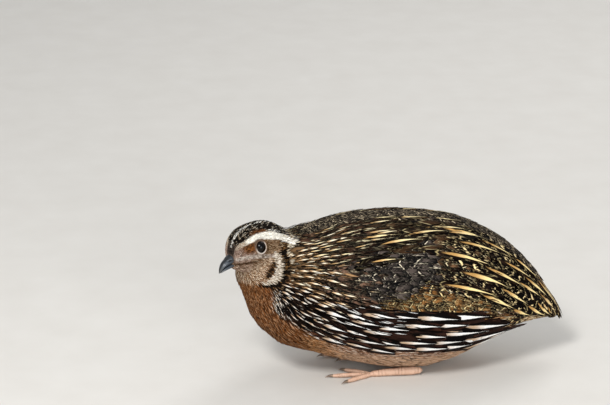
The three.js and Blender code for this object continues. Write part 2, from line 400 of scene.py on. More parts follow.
class Value:
    """A shader socket that takes part in sums and masks as a number does."""

    def __init__(self, paint: "Paint", socket: bpy.types.NodeSocket) -> None:
        """Wraps the socket of a node of the paint."""
        self.paint = paint
        self.socket = socket

    def maths(self, operation: str, *values: "Value | float") -> "Value":
        """The result of a Math node on the values."""
        return self.paint.node("ShaderNodeMath", {"operation": operation}, dict(enumerate(values)))

    def __add__(self, other: "Value | float") -> "Value":
        """self + other."""
        return self.maths("ADD", self, other)

    def __sub__(self, other: "Value | float") -> "Value":
        """self - other."""
        return self.maths("SUBTRACT", self, other)

    def __rsub__(self, other: float) -> "Value":
        """other - self."""
        return self.maths("SUBTRACT", other, self)

    def __mul__(self, other: "Value | float") -> "Value":
        """self * other."""
        return self.maths("MULTIPLY", self, other)

    __radd__ = __add__
    __rmul__ = __mul__

    def at_least(self, other: "Value | float") -> "Value":
        """The larger of the two."""
        return self.maths("MAXIMUM", self, other)

    def size(self) -> "Value":
        """The number without its sign."""
        return self.maths("ABSOLUTE", self)

    def fraction(self) -> "Value":
        """What is left of the number above the whole number below it."""
        return self.maths("FRACT", self)

    def ramp(self, low: "Value | float", high: "Value | float") -> "Value":
        """How far the number has come from low to high, eased, from 0 to 1."""
        return self.paint.node("ShaderNodeMapRange", {"interpolation_type": "SMOOTHSTEP"},
                               {"Value": self, "From Min": low, "From Max": high})


class Paint:
    """A material being made: its nodes, and the shader that they feed."""

    def __init__(self, name: str) -> None:
        """Starts a material with one Principled shader."""
        self.material = bpy.data.materials.new(name)
        self.material.use_nodes = True
        self.tree = self.material.node_tree
        self.shader = self.tree.nodes["Principled BSDF"]

    def node(self, kind: str, settings: dict | None = None, values: dict | None = None,
             output: int | str = 0) -> Value:
        """Adds a node.

        Args:
            kind: the node's type.
            settings: what is set on the node first.
            values: a number, colour or Value for each input, by its name or number.
            output: the name or number of the output that is wanted.

        Returns:
            That output.
        """
        node = self.tree.nodes.new(kind)
        for title, setting in (settings or {}).items():
            setattr(node, title, setting)
        for title, value in (values or {}).items():
            self.feed(node.inputs[title], value)
        return Value(self, node.outputs[output])

    def feed(self, socket: bpy.types.NodeSocket, value: object) -> None:
        """Links a Value to the socket, or sets the socket to a number or colour."""
        if isinstance(value, Value):
            self.tree.links.new(value.socket, socket)
        elif socket.type == "RGBA":
            socket.default_value = (*tuple(value)[:3], 1)
        else:
            socket.default_value = value

    def set(self, **values: object) -> bpy.types.Material:
        """Feeds the shader's sockets, named with _ for a space, and gives the material."""
        for title, value in values.items():
            self.feed(self.shader.inputs[title.replace("_", " ")], value)
        return self.material

    def place(self, stretch: tuple[float, float, float] = (1, 1, 1)) -> Value:
        """The object's own coordinates, stretched."""
        spot = self.node("ShaderNodeTexCoord", output="Object")
        return self.node("ShaderNodeMapping", {}, {"Vector": spot, "Scale": stretch})

    def attribute(self, title: str, output: str = "Color") -> Value:
        """An attribute of the mesh."""
        return self.node("ShaderNodeAttribute", {"attribute_name": title}, output=output)

    def parts(self, vector: Value) -> tuple[Value, Value, Value]:
        """A vector's three numbers."""
        first = self.node("ShaderNodeSeparateXYZ", {}, {"Vector": vector})
        outputs = first.socket.node.outputs
        return first, Value(self, outputs[1]), Value(self, outputs[2])

    def vector(self, *numbers: Value | float) -> Value:
        """A vector of three numbers."""
        return self.node("ShaderNodeCombineXYZ", {}, dict(enumerate(numbers)))

    def noise(self, vector: Value, scale: float, detail: float = 2.0, roughness: float = 0.5) -> Value:
        """Soft noise from 0 to 1."""
        return self.node("ShaderNodeTexNoise", {},
                         {"Vector": vector, "Scale": scale, "Detail": detail, "Roughness": roughness})

    def mix(self, mask: Value | float, first: object, second: object) -> Value:
        """The first colour, or the second where the mask is 1."""
        return self.node("ShaderNodeMix", {"data_type": "RGBA"}, {0: mask, 6: first, 7: second}, output=2)

    def times(self, first: object, second: object) -> Value:
        """Two colours multiplied."""
        return self.node("ShaderNodeVectorMath", {"operation": "MULTIPLY"}, {0: first, 1: second})

    def shade(self, colour: Value, level: Value) -> Value:
        """The colour made lighter or darker by a level round 1."""
        return self.times(colour, self.vector(level, level, level))

    def bump(self, height: Value, depth: float) -> Value:
        """The normal of a surface whose relief is so many millimetres deep."""
        return self.node("ShaderNodeBump", {}, {"Height": height, "Distance": depth * MM})


@dataclass(frozen=True)
class PlumageFinish:
    """Feathers: clouds, cross lines, fine scrawls, a rim, and a pale streak with dark sides on the shaft.

    Root_shade is how light a feather is at its root. A pair is where a mask begins and where it is full.
    """

    name: str
    barbs: float = 0.3
    relief: float = 0.2
    roughness: float = 0.62
    gloss: float = 0.04
    root_shade: float = 0.6
    root_end: tuple[float, float] = (0.05, 0.55)
    band_shade: tuple[float, float] = (0.3, 0.95)
    cloud_edge: tuple[float, float] = (0.52, 0.62)
    cloud_weight: float = 0.8
    line_gaps: tuple[float, float] = (0.36, 0.46)
    scrawl_edge: tuple[float, float] = (0.54, 0.62)
    rim_dark: tuple[float, float] = (0.6, 0.72)
    rim_pale: tuple[float, float] = (0.84, 0.93)
    rim_weight: float = 0.8
    fringe: float = 0.62
    fringe_weight: float = 0.95
    shaft: float = 0.14
    tan: tuple[float, float, float] = (0.8, 0.58, 0.4)
    tan_share: float = 0.3

    def make(self) -> bpy.types.Material:
        """The finish as a material, which reads the vanes' map and each feather's colours and numbers."""
        paint = Paint(self.name)
        u, along, _ = paint.parts(paint.node("ShaderNodeUVMap", {"uv_map": "vane"}))
        side = u * 2 - 1
        across = side.size()
        streak, start, rim = paint.parts(paint.attribute("form", "Vector"))
        bands, line, scrawl = paint.parts(paint.attribute("trim", "Vector"))
        seed, point, thick = paint.parts(paint.attribute("seed", "Vector"))
        ground, mark, dark = (paint.attribute(title) for title in ("ground", "mark", "dark"))
        cloud = paint.noise(paint.vector(side + seed * 9, along * 3.5, seed * 40), 1, 3)
        barb = paint.noise(paint.vector(across * 1.4 + seed * 7, along * 46 - across * 15, side), 1, 2)
        curls = paint.vector(side * 2.2 + seed * 5, along * 15 - across * 4, seed * 20)
        worm = paint.noise(curls, 1, 3, 0.6)
        # how far out on the vane, roughened, and how far in its band, which slants back from the shaft
        fray = across + (barb - 0.5) * 0.14 + (cloud - 0.5) * 0.12
        phase = (bands * (along + (cloud - 0.5) * 0.1) - across * 0.45).fraction()
        # darker bands and clouds
        colour = paint.mix(phase.ramp(*self.band_shade) * bands.ramp(0.1, 0.5), ground, dark)
        colour = paint.mix(cloud.ramp(*self.cloud_edge) * self.cloud_weight, colour, dark)
        # pale cross lines with dark edges, broken in places, and scrawls
        gaps = paint.noise(paint.vector(side * 2 + seed * 11, along * 5, seed * 30), 1, 1)
        line = line * gaps.ramp(*self.line_gaps)
        colour = paint.mix((1 - phase.ramp(thick * 2, thick * 3.5)) * line, colour, dark)
        colour = paint.mix((1 - phase.ramp(thick, thick * 1.6)) * line, colour, mark)
        colour = paint.mix(worm.ramp(*self.scrawl_edge) * scrawl, colour, mark)
        # a pale rim with a dark line inside it
        edge = fray.at_least(along * 5 - 4)
        colour = paint.mix(edge.ramp(*self.rim_dark) * rim * self.rim_weight, colour, dark)
        colour = paint.mix(edge.ramp(*self.rim_pale) * rim, colour, mark)
        # the streak, tan where it starts and drawn in towards the tip, with dark sides
        shown = streak.ramp(0.02, 0.06) * along.ramp(start - 0.05, start + 0.06)
        half = streak * along.ramp(start - 0.25, start + 0.3) * (1 - along.ramp(point, 1.04) * 0.94)
        sides = 1 - fray.ramp(half * 1.1 + 0.1, half + self.fringe)
        colour = paint.mix(sides * shown * self.fringe_weight, colour, dark)
        tanned = paint.times(mark, self.tan)
        past_tan = along.ramp(start + 0.12, start + 0.4)
        warm = paint.mix(past_tan, paint.mix(self.tan_share, tanned, ground), mark)
        colour = paint.mix((1 - fray.ramp(half * 0.7, half * 1.1 + 0.02)) * shown, colour, warm)
        # barbs, the shade under the next feather and the shaft's ridge
        level = 1 + (barb - 0.5) * self.barbs * 2
        level = level * (self.root_shade + along.ramp(*self.root_end) * (1 - self.root_shade))
        height = barb * 0.7 + (1 - across.ramp(0.0, self.shaft)) * 0.4
        return paint.set(Base_Color=paint.shade(colour, level),
                         Roughness=self.roughness + (barb - 0.5) * 0.2,
                         Normal=paint.bump(height, self.relief), Specular_IOR_Level=self.gloss)


@dataclass(frozen=True)
class SkinFinish:
    """Skin under the coat: the coat's colours, darkened as painted shade, worn as short down, and bare
    pebbled lids.
    """

    name: str = "downy_skin"
    down: float = 1500.0
    pebbles: float = 2600.0
    relief: float = 0.12

    def make(self) -> bpy.types.Material:
        """The finish as a material, which reads the skin's colours with their painted shade."""
        paint = Paint(self.name)
        spot = paint.place()
        fuzz = paint.noise(paint.place((1, 0.25, 1)), self.down, 4, 0.65)
        pebble = paint.node("ShaderNodeTexVoronoi", {}, {"Vector": spot, "Scale": self.pebbles})
        bare = paint.attribute("bare", "Fac")
        colour = paint.shade(paint.attribute("ground"), 0.7 + fuzz * 0.6)
        colour = paint.mix(bare, colour, paint.shade(paint.attribute("ground"), 0.85 + pebble * 0.3))
        height = fuzz * (1 - bare) + pebble * bare * 0.4
        return paint.set(Base_Color=colour, Roughness=0.75 - bare * 0.25,
                         Normal=paint.bump(height, self.relief), Specular_IOR_Level=0.1)


@dataclass(frozen=True)
class EyeFinish:
    """A dark wet eye: black pupil and deep brown iris with fine spokes. Pairs are angles from its axis."""

    name: str = "wet_eye"
    pupil: tuple[float, float] = (0.4, 0.44)
    iris_edge: tuple[float, float] = (0.5, 0.66)

    def make(self) -> bpy.types.Material:
        """The finish as a material, which reads how far each spot is from the eye's axis."""
        paint = Paint(self.name)
        reach, turn, _ = paint.parts(paint.attribute("gaze", "Vector"))
        spokes = paint.noise(paint.vector(turn * 9, reach * 2, 0), 3, 3)
        iris = paint.mix(spokes, tint("070402"), tint("1a0e06"))
        iris = paint.mix(reach.ramp(*self.iris_edge), iris, tint("050302"))
        colour = paint.mix(reach.ramp(*self.pupil), tint("010101"), iris)
        return paint.set(Base_Color=colour, Roughness=0.02, Specular_IOR_Level=0.2)


@dataclass(frozen=True)
class HornFinish:
    """Horn, finely grained along its length, with its colours at the root, on the way and at the tip, and
    painted shade in its hollows.
    """

    name: str
    root: str
    middle: str
    tip: str
    roughness: float
    ridge: str = "141414"
    # the colour of the painted shade in the nostril slits
    hollow: str = "070606"
    relief: float = 0.05

    def make(self) -> bpy.types.Material:
        """The finish as a material, which reads how far along the horn each spot is."""
        paint = Paint(self.name)
        along, around, hollow = paint.parts(paint.attribute("grain", "Vector"))
        grain = paint.noise(paint.vector(along * 3, around * 30, 0), 1, 3)
        cloud = paint.noise(paint.place(), 500, 3)
        colour = paint.mix((along + (cloud - 0.5) * 0.3).ramp(0.0, 0.4), tint(self.root), tint(self.middle))
        colour = paint.mix((along + (cloud - 0.5) * 0.2).ramp(0.72, 1.0), colour, tint(self.tip))
        colour = paint.mix((1 - around.ramp(0.25, 0.8)) * 0.85, colour, tint(self.ridge))
        # painted shade: the sunken nostril slits darkened
        colour = paint.mix(hollow * 0.9, colour, tint(self.hollow))
        colour = paint.shade(colour, 0.75 + grain * 0.5)
        return paint.set(Base_Color=colour, Roughness=self.roughness + (grain - 0.5) * 0.25,
                         Normal=paint.bump(grain + cloud * 0.5, self.relief), Specular_IOR_Level=0.45)


@dataclass(frozen=True)
class ScaleFinish:
    """Leg skin: horny scutes over the toes' tops and small round scales elsewhere."""

    name: str = "leg_scales"
    cells: float = 1500.0
    relief: float = 0.12

    def make(self) -> bpy.types.Material:
        """The finish as a material, which reads the leg's scute pattern."""
        paint = Paint(self.name)
        scute, top, _ = paint.parts(paint.attribute("scutes", "Vector"))
        cells = paint.node("ShaderNodeTexVoronoi", {"feature": "DISTANCE_TO_EDGE"},
                           {"Vector": paint.place(), "Scale": self.cells})
        cloud = paint.noise(paint.place(), 400, 3)
        seam = (1 - scute.ramp(0.0, 0.25)) * top
        groove = seam.at_least((1 - cells.ramp(0.0, 0.12)) * (1 - top))
        colour = paint.mix(cloud, tint("b98f76"), tint("d9b8a0"))
        colour = paint.mix(groove * 0.75, colour, tint("7a5444"))
        return paint.set(Base_Color=colour, Roughness=0.5 + groove * 0.2,
                         Normal=paint.bump(1 - groove, self.relief), Specular_IOR_Level=0.4)


@dataclass(frozen=True)
class FloorFinish:
    """A plain pale floor with the faintest grain."""

    name: str = "pale_floor"

    def make(self) -> bpy.types.Material:
        """The finish as a material."""
        paint = Paint(self.name)
        cloud = paint.noise(paint.place(), 40, 4)
        colour = paint.mix(cloud, tint("d0ccc5"), tint("dad7d1"))
        return paint.set(Base_Color=colour, Roughness=0.8)


# Markings

@dataclass(frozen=True)
class Tone:
    """One part of the pattern: the ground, the marks on it and their dark edges, and what marks there are.

    A streak's width is a share of the feather's half width. It begins at start and narrows from point on,
    which are shares of the feather's length. Bands are counted, and the other marks are strengths up to 1.
    Odds are the share of feathers with a streak, and thick is a line's share of its band.
    """

    ground: str
    mark: str
    dark: str
    streak: float = 0.0
    start: float = 0.3
    rim: float = 0.0
    bands: float = 0.0
    line: float = 0.0
    scrawl: float = 0.0
    mottle: float = 0.0
    odds: float = 1.0
    point: float = 0.62
    thick: float = 0.05

    def form(self) -> tuple[float, float, float]:
        """The streak's width and where it starts, and the rim's strength."""
        return self.streak, self.start, self.rim

    def trim(self) -> tuple[float, float, float]:
        """How many bands there are, and the strength of their pale lines and of the scrawls."""
        return self.bands, self.line, self.scrawl


class Pattern(Enum):
    """The tones of the coat, part by part."""

    CROWN = Tone("1d1610", "cdc2ae", "060403", streak=0.6, mottle=0.4, odds=0.25)
    CROWN_EDGE = Tone("74492a", "a87a50", "20140b", rim=0.1, mottle=0.3)
    CROWN_DASH = Tone("14100c", "f4f0e6", "070504", streak=0.6, start=0.1, mottle=0.1, odds=0.75)
    BROW = Tone("fdf9ef", "ffffff", "d8ccb4")
    BROW_FRONT = Tone("d0bea6", "f4ecde", "6a5844", streak=0.4, mottle=0.2)
    FOREHEAD = Tone("3b312b", "a89a8e", "0f0b09", rim=0.6, mottle=0.4)
    LORE = Tone("955f35", "c08a58", "36200f", mottle=0.5)
    LORE_FRONT = Tone("c8ab99", "eaddd2", "6c5448", streak=0.25, mottle=0.3)
    EAR = Tone("967557", "c4a888", "46331f", streak=0.25, start=0.1, mottle=0.35)
    UNDER_EYE = Tone("dcd0c4", "f6f0e8", "74604f", mottle=0.35)
    FACE_SPOT = Tone("53341f", "a87c54", "2a1a0e", streak=0.2, mottle=0.3)
    FACE_FLECK = Tone("e2cdb4", "fbf3e6", "a98c6e", streak=0.3, mottle=0.1)
    GAPE = Tone("4a3424", "8c6040", "1c130c", mottle=0.25)
    CHEEK = Tone("b98a62", "f0dcbe", "4a2b17", streak=0.3, start=0.1, mottle=0.5)
    CHIN = Tone("c3a48c", "e6d6c8", "5c4232", streak=0.2, mottle=0.45)
    DARK_BAR = Tone("17110b", "9a7448", "070504", streak=0.3, mottle=0.2, odds=0.25)
    COLLAR = Tone("d3c4ab", "f3ecdf", "7a6650", streak=0.4, start=0.1, mottle=0.12)
    COLLAR_REAR = Tone("bca482", "ece0c8", "241a12", streak=0.45, start=0.15, mottle=0.35)
    THROAT = Tone("84532f", "b28862", "42260f", streak=0.15, mottle=0.3)
    BREAST = Tone("83502a", "b98c66", "40240f", streak=0.15, mottle=0.25)
    BREAST_LOW = Tone("b37e51", "d6aa80", "76512f", streak=0.14, mottle=0.12)
    BELLY = Tone("d0a786", "e8cbb0", "a08068", streak=0.12, mottle=0.05)
    NECK_SIDE = Tone("a17d58", "f4e6ca", "0a0705", streak=0.3, mottle=0.5, odds=0.9, point=0.66)
    BREAST_SIDE = Tone("33231a", "e6ddd0", "040303", streak=0.25, mottle=0.55, odds=0.92, point=0.6)
    MANTLE = Tone("54392a", "ecdcb2", "050303", streak=0.2, start=0.35, bands=1.6, line=0.15, scrawl=0.1,
                  mottle=0.65, odds=0.7)
    SCAPULAR = Tone("45301f", "ecd8a4", "040202", streak=0.2, bands=2.4, line=0.3, scrawl=0.08,
                    mottle=0.7, odds=0.55, point=0.55, thick=0.07)
    SPINE = Tone("2c231e", "d0bc9c", "050404", bands=2.6, line=0.85, scrawl=0.35, mottle=0.45, thick=0.07)
    RUMP = Tone("2c1d14", "f4dc9e", "050303", streak=0.34, bands=5, line=0.5, mottle=0.3, point=0.5,
                thick=0.12)
    RUMP_DARK = Tone("1d1410", "e4cc98", "040303", bands=2.4, line=0.95, mottle=0.4, thick=0.15)
    COVERT = Tone("4c433e", "d6cab2", "0a0a0c", bands=2.75, line=1.0, scrawl=0.05, mottle=0.4)
    COVERT_REAR = Tone("6c5038", "e2d0a6", "0d0a08", bands=2.75, line=1.0, scrawl=0.1, mottle=0.3,
                       thick=0.06)
    LESSER = Tone("6b5040", "d2c2a2", "0c0a09", streak=0.1, start=0.45, bands=2.2, line=0.1, scrawl=0.15,
                  mottle=0.5, odds=0.35)
    WING_FEATHER = Tone("7c542c", "dcc48e", "0b0806", bands=4.2, line=0.85, scrawl=0.35, mottle=0.25,
                        thick=0.09)
    FLANK = Tone("38221a", "e9e7e4", "040303", streak=0.25, mottle=0.6, odds=0.92, point=0.5)
    FLANK_LOW = Tone("b0866a", "e6d3c2", "6c4c38", streak=0.2, mottle=0.12)
    VENT = Tone("b88e60", "ead6b0", "4a3420", streak=0.3, mottle=0.2)
    TAIL = Tone("33230f", "ecd09a", "060403", streak=0.3, start=0.2, bands=7, line=0.9, mottle=0.1,
                thick=0.12)
    LID = Tone("b5aaa0", "ece4da", "8d7c6c")
    LID_TOP = Tone("5e4c3e", "8c7c6c", "3a2c22")


@dataclass(frozen=True)
class Variety:
    """How much feathers of one tone differ: spreads of what they wear, and how often a line is faint."""

    level: float = 0.1
    darker: tuple[float, float] = (0.4, 1.0)
    mark: float = 0.06
    form: float = 0.15
    trim: float = 0.12
    limits: tuple[float, float] = (0.5, 1.5)
    faint_odds: float = 0.25
    faint_line: float = 0.2


@dataclass
class Dress:
    """What each feather or spot of skin wears: three colours, and the numbers of its marks.

    Form and trim are the tone's, chance is its mottle, odds, point and thick, and seed is a feather's own
    number with its point and thick.
    """

    ground: np.ndarray
    mark: np.ndarray
    dark: np.ndarray
    form: np.ndarray
    trim: np.ndarray
    chance: np.ndarray
    seed: np.ndarray

    @classmethod
    def plain(cls, pattern: Pattern, count: int) -> "Dress":
        """One tone for every spot."""
        tone = pattern.value
        rows = [np.tile(tint(code), (count, 1)) for code in (tone.ground, tone.mark, tone.dark)]
        form, trim = (np.tile(numbers, (count, 1)) for numbers in (tone.form(), tone.trim()))
        chance = np.tile((tone.mottle, tone.odds, tone.point, tone.thick), (count, 1))
        return cls(*rows, form, trim, chance, np.zeros((count, 3)))

    def lay(self, pattern: Pattern, weight: np.ndarray) -> None:
        """Lays a tone over the dress where the weight is 1."""
        over = Dress.plain(pattern, len(self.chance))
        share = np.clip(weight, 0, 1)[:, None]
        for title in ("ground", "mark", "dark", "form", "trim", "chance"):
            worn = getattr(self, title)
            worn += (getattr(over, title) - worn) * share

    def vary(self, dice: np.random.Generator, spread: Variety) -> None:
        """Makes the feathers differ a little from each other, and some much darker."""
        count = len(self.chance)
        level = 1 + dice.normal(0, spread.level, (count, 1))
        mottled = (dice.random(count) < self.chance[:, 0])[:, None]
        self.ground += (self.dark - self.ground) * (mottled * dice.uniform(*spread.darker, (count, 1)))
        self.ground *= level
        self.mark *= 1 + dice.normal(0, spread.mark, (count, 1))
        self.form *= np.clip(dice.normal(1, spread.form, (count, 3)), *spread.limits)
        self.trim *= np.clip(dice.normal(1, spread.trim, (count, 3)), *spread.limits)
        self.form[:, 0] *= dice.random(count) < self.chance[:, 1]
        self.trim[:, 1] *= np.where(dice.random(count) < spread.faint_odds, spread.faint_line, 1)
        self.seed = np.stack([dice.random(count), *self.chance[:, 2:].T], 1)


@dataclass(frozen=True)
class Markings:
    """The bird's pattern as regions and lines, laid one over the other.

    A line on the head runs through places (back, up) in the head's own frame. Each region fades in between
    two places in millimetres, or between two girths.
    """

    brow_low: Line = ((-14, 3.6), (-12.5, 4.6), (-8.8, 5.7), (-4.8, 5.9), (-1.6, 5.6), (1.8, 3.9),
                      (7.1, 1.5), (11.5, -2.2))
    brow_top: Line = ((-14, 4.6), (-12.5, 6.0), (-10, 7.1), (-6.3, 8.0), (-3, 8.3), (1.7, 7.4), (6.6, 5.4),
                      (12.5, 1.3), (16, -2))
    under_eye: Line = ((-14.8, -0.9), (-11.9, -0.4), (-8.6, -0.8), (-3.6, -2.8), (2.6, -5.0))
    gape: Line = ((-15.5, -3.9), (-13.1, -3.4), (-8.6, -3.9), (-3, -6.2), (1.0, -6.9))
    inner_bar: Line = ((0.4, -8.4), (-0.3, -9.6), (-1.7, -11.2), (-3.3, -13), (-4.6, -14.8))
    collar: Line = ((2.8, -3.8), (3.4, -5.2), (2.9, -7.2), (2.0, -9.2), (0.6, -11.2), (-1.2, -13.6),
                    (-3.2, -16), (-5.4, -17.4))
    outer_bar: Line = ((8.8, 2.0), (10.2, -0.6), (8.4, -2.6), (6.2, -4.2), (5.4, -6.2), (4.2, -8.6),
                       (2.5, -11.2), (0.5, -14), (-1.6, -16.8), (-4, -18.8), (-7, -18.4))
    second_collar: Line = ((10.4, -3.2), (8.8, -5), (7.4, -7.4), (5.6, -10.2), (3.4, -13))
    head_reach: float = 24.0
    patch_scale: float = 0.85

    def read(self, points: np.ndarray) -> Dress:
        """The dress of every point of the bird, in millimetres."""
        dress = Dress.plain(Pattern.BELLY, len(points))
        self.dress_body(dress, points)
        self.dress_neck(dress, points)
        self.dress_head(dress, HEAD.inward(points))
        return dress

    def dress_body(self, dress: Dress, points: np.ndarray) -> None:
        """Lays the tones of back, wings, flanks, belly and tail."""
        x, y, z = points.T
        girth = CHART.girth(points)
        dress.lay(Pattern.BREAST_LOW, ramp(y, -20, -44))
        dress.lay(Pattern.FLANK_LOW, ramp(girth, 0.78, 0.72) * ramp(y, -40, -30))
        dress.lay(Pattern.VENT, ramp(y, 38, 56) * ramp(girth, 0.45, 0.55))
        dress.lay(Pattern.FLANK, ramp(girth, 0.7, 0.67) * ramp(y, 50, 44))
        dress.lay(Pattern.WING_FEATHER, ramp(girth, 0.5, 0.48) * ramp(y, -14, -8))
        dress.lay(Pattern.LESSER, ramp(girth, 0.44, 0.41) * ramp(y, -36, -28))
        dress.lay(Pattern.COVERT, ramp(girth, 0.42, 0.4) * ramp(y, -22, -16))
        dress.lay(Pattern.COVERT_REAR, ramp(girth, 0.42, 0.4) * ramp(y, 14, 22))
        dress.lay(Pattern.MANTLE, ramp(girth, 0.3, 0.27) * ramp(y, -2, -8))
        scapular_edge = girth - 0.26 + 0.1 * ramp(y, -20, 20)
        dress.lay(Pattern.SCAPULAR, ramp(y, -12, -6) * ramp(scapular_edge, 0.03, 0.0))
        rump_edge = girth - 0.2 - 0.26 * ramp(y, 22, 60)
        dress.lay(Pattern.RUMP_DARK, ramp(y, 16, 24) * ramp(rump_edge, 0.03, 0.0))
        dress.lay(Pattern.SPINE, ramp(np.abs(x), 7.5, 5.5) * ramp(girth, 0.3, 0.2) * ramp(y, -50, -42))
        dress.lay(Pattern.TAIL, ramp(y, 72, 78) * ramp(z, 22, 25))

    def dress_neck(self, dress: Dress, points: np.ndarray) -> None:
        """Lays the tones of the neck, throat and front of the breast."""
        x, y, z = points.T
        girth = CHART.girth(points)
        dress.lay(Pattern.NECK_SIDE, ramp(y, -36, -44) * ramp(girth, 0.5, 0.44) * ramp(girth, 0.14, 0.22))
        side_front = y + np.abs(x) * 0.75
        dress.lay(Pattern.BREAST, ramp(y, -42, -52) * ramp(girth, 0.56, 0.66))
        dress.lay(Pattern.BREAST, ramp(side_front, -46, -52) * ramp(z, 66, 58))
        streaked = ramp(girth, 0.66, 0.61) * ramp(side_front, -51, -46) * ramp(y, -30, -38)
        dress.lay(Pattern.BREAST_SIDE, streaked * ramp(girth, 0.4, 0.46))

    def patches(self, local: np.ndarray) -> np.ndarray:
        """Soft random patches about a millimetre across, from -1 to 1, on the head and 0 off it."""
        on_head = np.linalg.norm(local, axis=1) < self.head_reach
        values = np.zeros(len(local))
        values[on_head] = [noise.noise(spot) for spot in local[on_head] * self.patch_scale]
        return values

    def dress_head(self, dress: Dress, local: np.ndarray) -> None:
        """Lays the tones of the head on points of its own frame."""
        x, y, z = local.T
        wide, side_view = np.abs(x), local[:, 1:]
        low = np.interp(y, *zip(*self.brow_low))
        top = np.interp(y, *zip(*self.brow_top))
        near = ramp(y, 13, 9) * ramp(z, -19.2, -17)
        dress.lay(Pattern.THROAT, ramp(y, 2, -6) * ramp(z, -26, -20) * ramp(wide, 13, 9))
        dress.lay(Pattern.CHEEK, near * ramp(y, 2, 0))
        dress.lay(Pattern.CHIN, near * ramp(y, -8.5, -10.5) * ramp(z, -2, -4) * ramp(z, -12, -9))
        dress.lay(Pattern.EAR, near * ramp(z, -5.2, -3.6) * ramp(y, 9, 6.5))
        dress.lay(Pattern.LORE_FRONT, near * ramp(y, -6.5, -8.5) * ramp(z, -3.4, -2))
        dress.lay(Pattern.LORE, near * ramp(y, -5.5, -7) * ramp(y, -13.5, -10.5) * ramp(z, 0.4, 2.4))
        spots = self.patches(local)
        dress.lay(Pattern.FACE_SPOT, near * ramp(spots, 0.08, 0.26) * 0.6)
        dress.lay(Pattern.FACE_FLECK, near * ramp(spots, -0.12, -0.3) * 0.5 * ramp(z, -2.5, -4))
        stripe = near * ramp(line_gap(side_view, self.under_eye), 1.4, 0.6)
        dress.lay(Pattern.UNDER_EYE, stripe * (1 - 0.5 * ramp(spots, 0.05, 0.3)))
        gape = ramp(line_gap(side_view, self.gape), 0.7, 0.3)
        dress.lay(Pattern.GAPE, gape * ramp(y, -5, -11) * ramp(wide, 1, 2))
        sides = ramp(wide, 6, 8)
        dress.lay(Pattern.COLLAR_REAR, sides * ramp(line_gap(side_view, self.second_collar), 1.5, 0.9))
        dress.lay(Pattern.COLLAR, sides * ramp(line_gap(side_view, self.collar), 1.15, 0.8))
        dress.lay(Pattern.DARK_BAR, sides * ramp(line_gap(side_view, self.inner_bar), 0.85, 0.5) * 0.95)
        dress.lay(Pattern.DARK_BAR, sides * ramp(line_gap(side_view, self.outer_bar), 1.1, 0.7))
        above = ramp(z - low, -0.3, 0.3) * ramp(wide, 2.5, 4)
        dress.lay(Pattern.BROW_FRONT, above * ramp(y, -8, -9.5) * ramp(y, -15.6, -14.6))
        dress.lay(Pattern.BROW, above * ramp(y, -10.5, -8.5) * ramp(y, 16.5, 14))
        crown = ramp(z - top, -0.3, 0.3) * ramp(y, 17, 14)
        dress.lay(Pattern.CROWN, crown)
        dress.lay(Pattern.CROWN_EDGE, crown * ramp(z - top, 1.3, 0.8) * ramp(y, 4, 2.5) * ramp(y, -6, -4))
        dashes = crown * ramp(np.abs(z - top - 0.7), 0.6, 0.3)
        dress.lay(Pattern.CROWN_DASH, dashes * ramp(y, 3, 5) * ramp(y, 12, 10))
        forehead = ramp(y, -12.6, -14) * ramp(z, 0, 1.6) * ramp(z, 7, 5.5)
        dress.lay(Pattern.FOREHEAD, forehead * ramp(wide, 3.4, 2.2))
        dress.lay(Pattern.CROWN_DASH, crown * ramp(wide, 0.9, 0.6))
        for side in SIDES.values():
            middle, (_, back, up) = EYE.axes(side)
            rim = ramp(EYE.reach(local, side), 1.42, 1.25)
            dress.lay(Pattern.LID, rim)
            dress.lay(Pattern.LID_TOP, rim * ramp((local - middle) @ (up - back * 0.5), -0.6, 1.6))


# The body

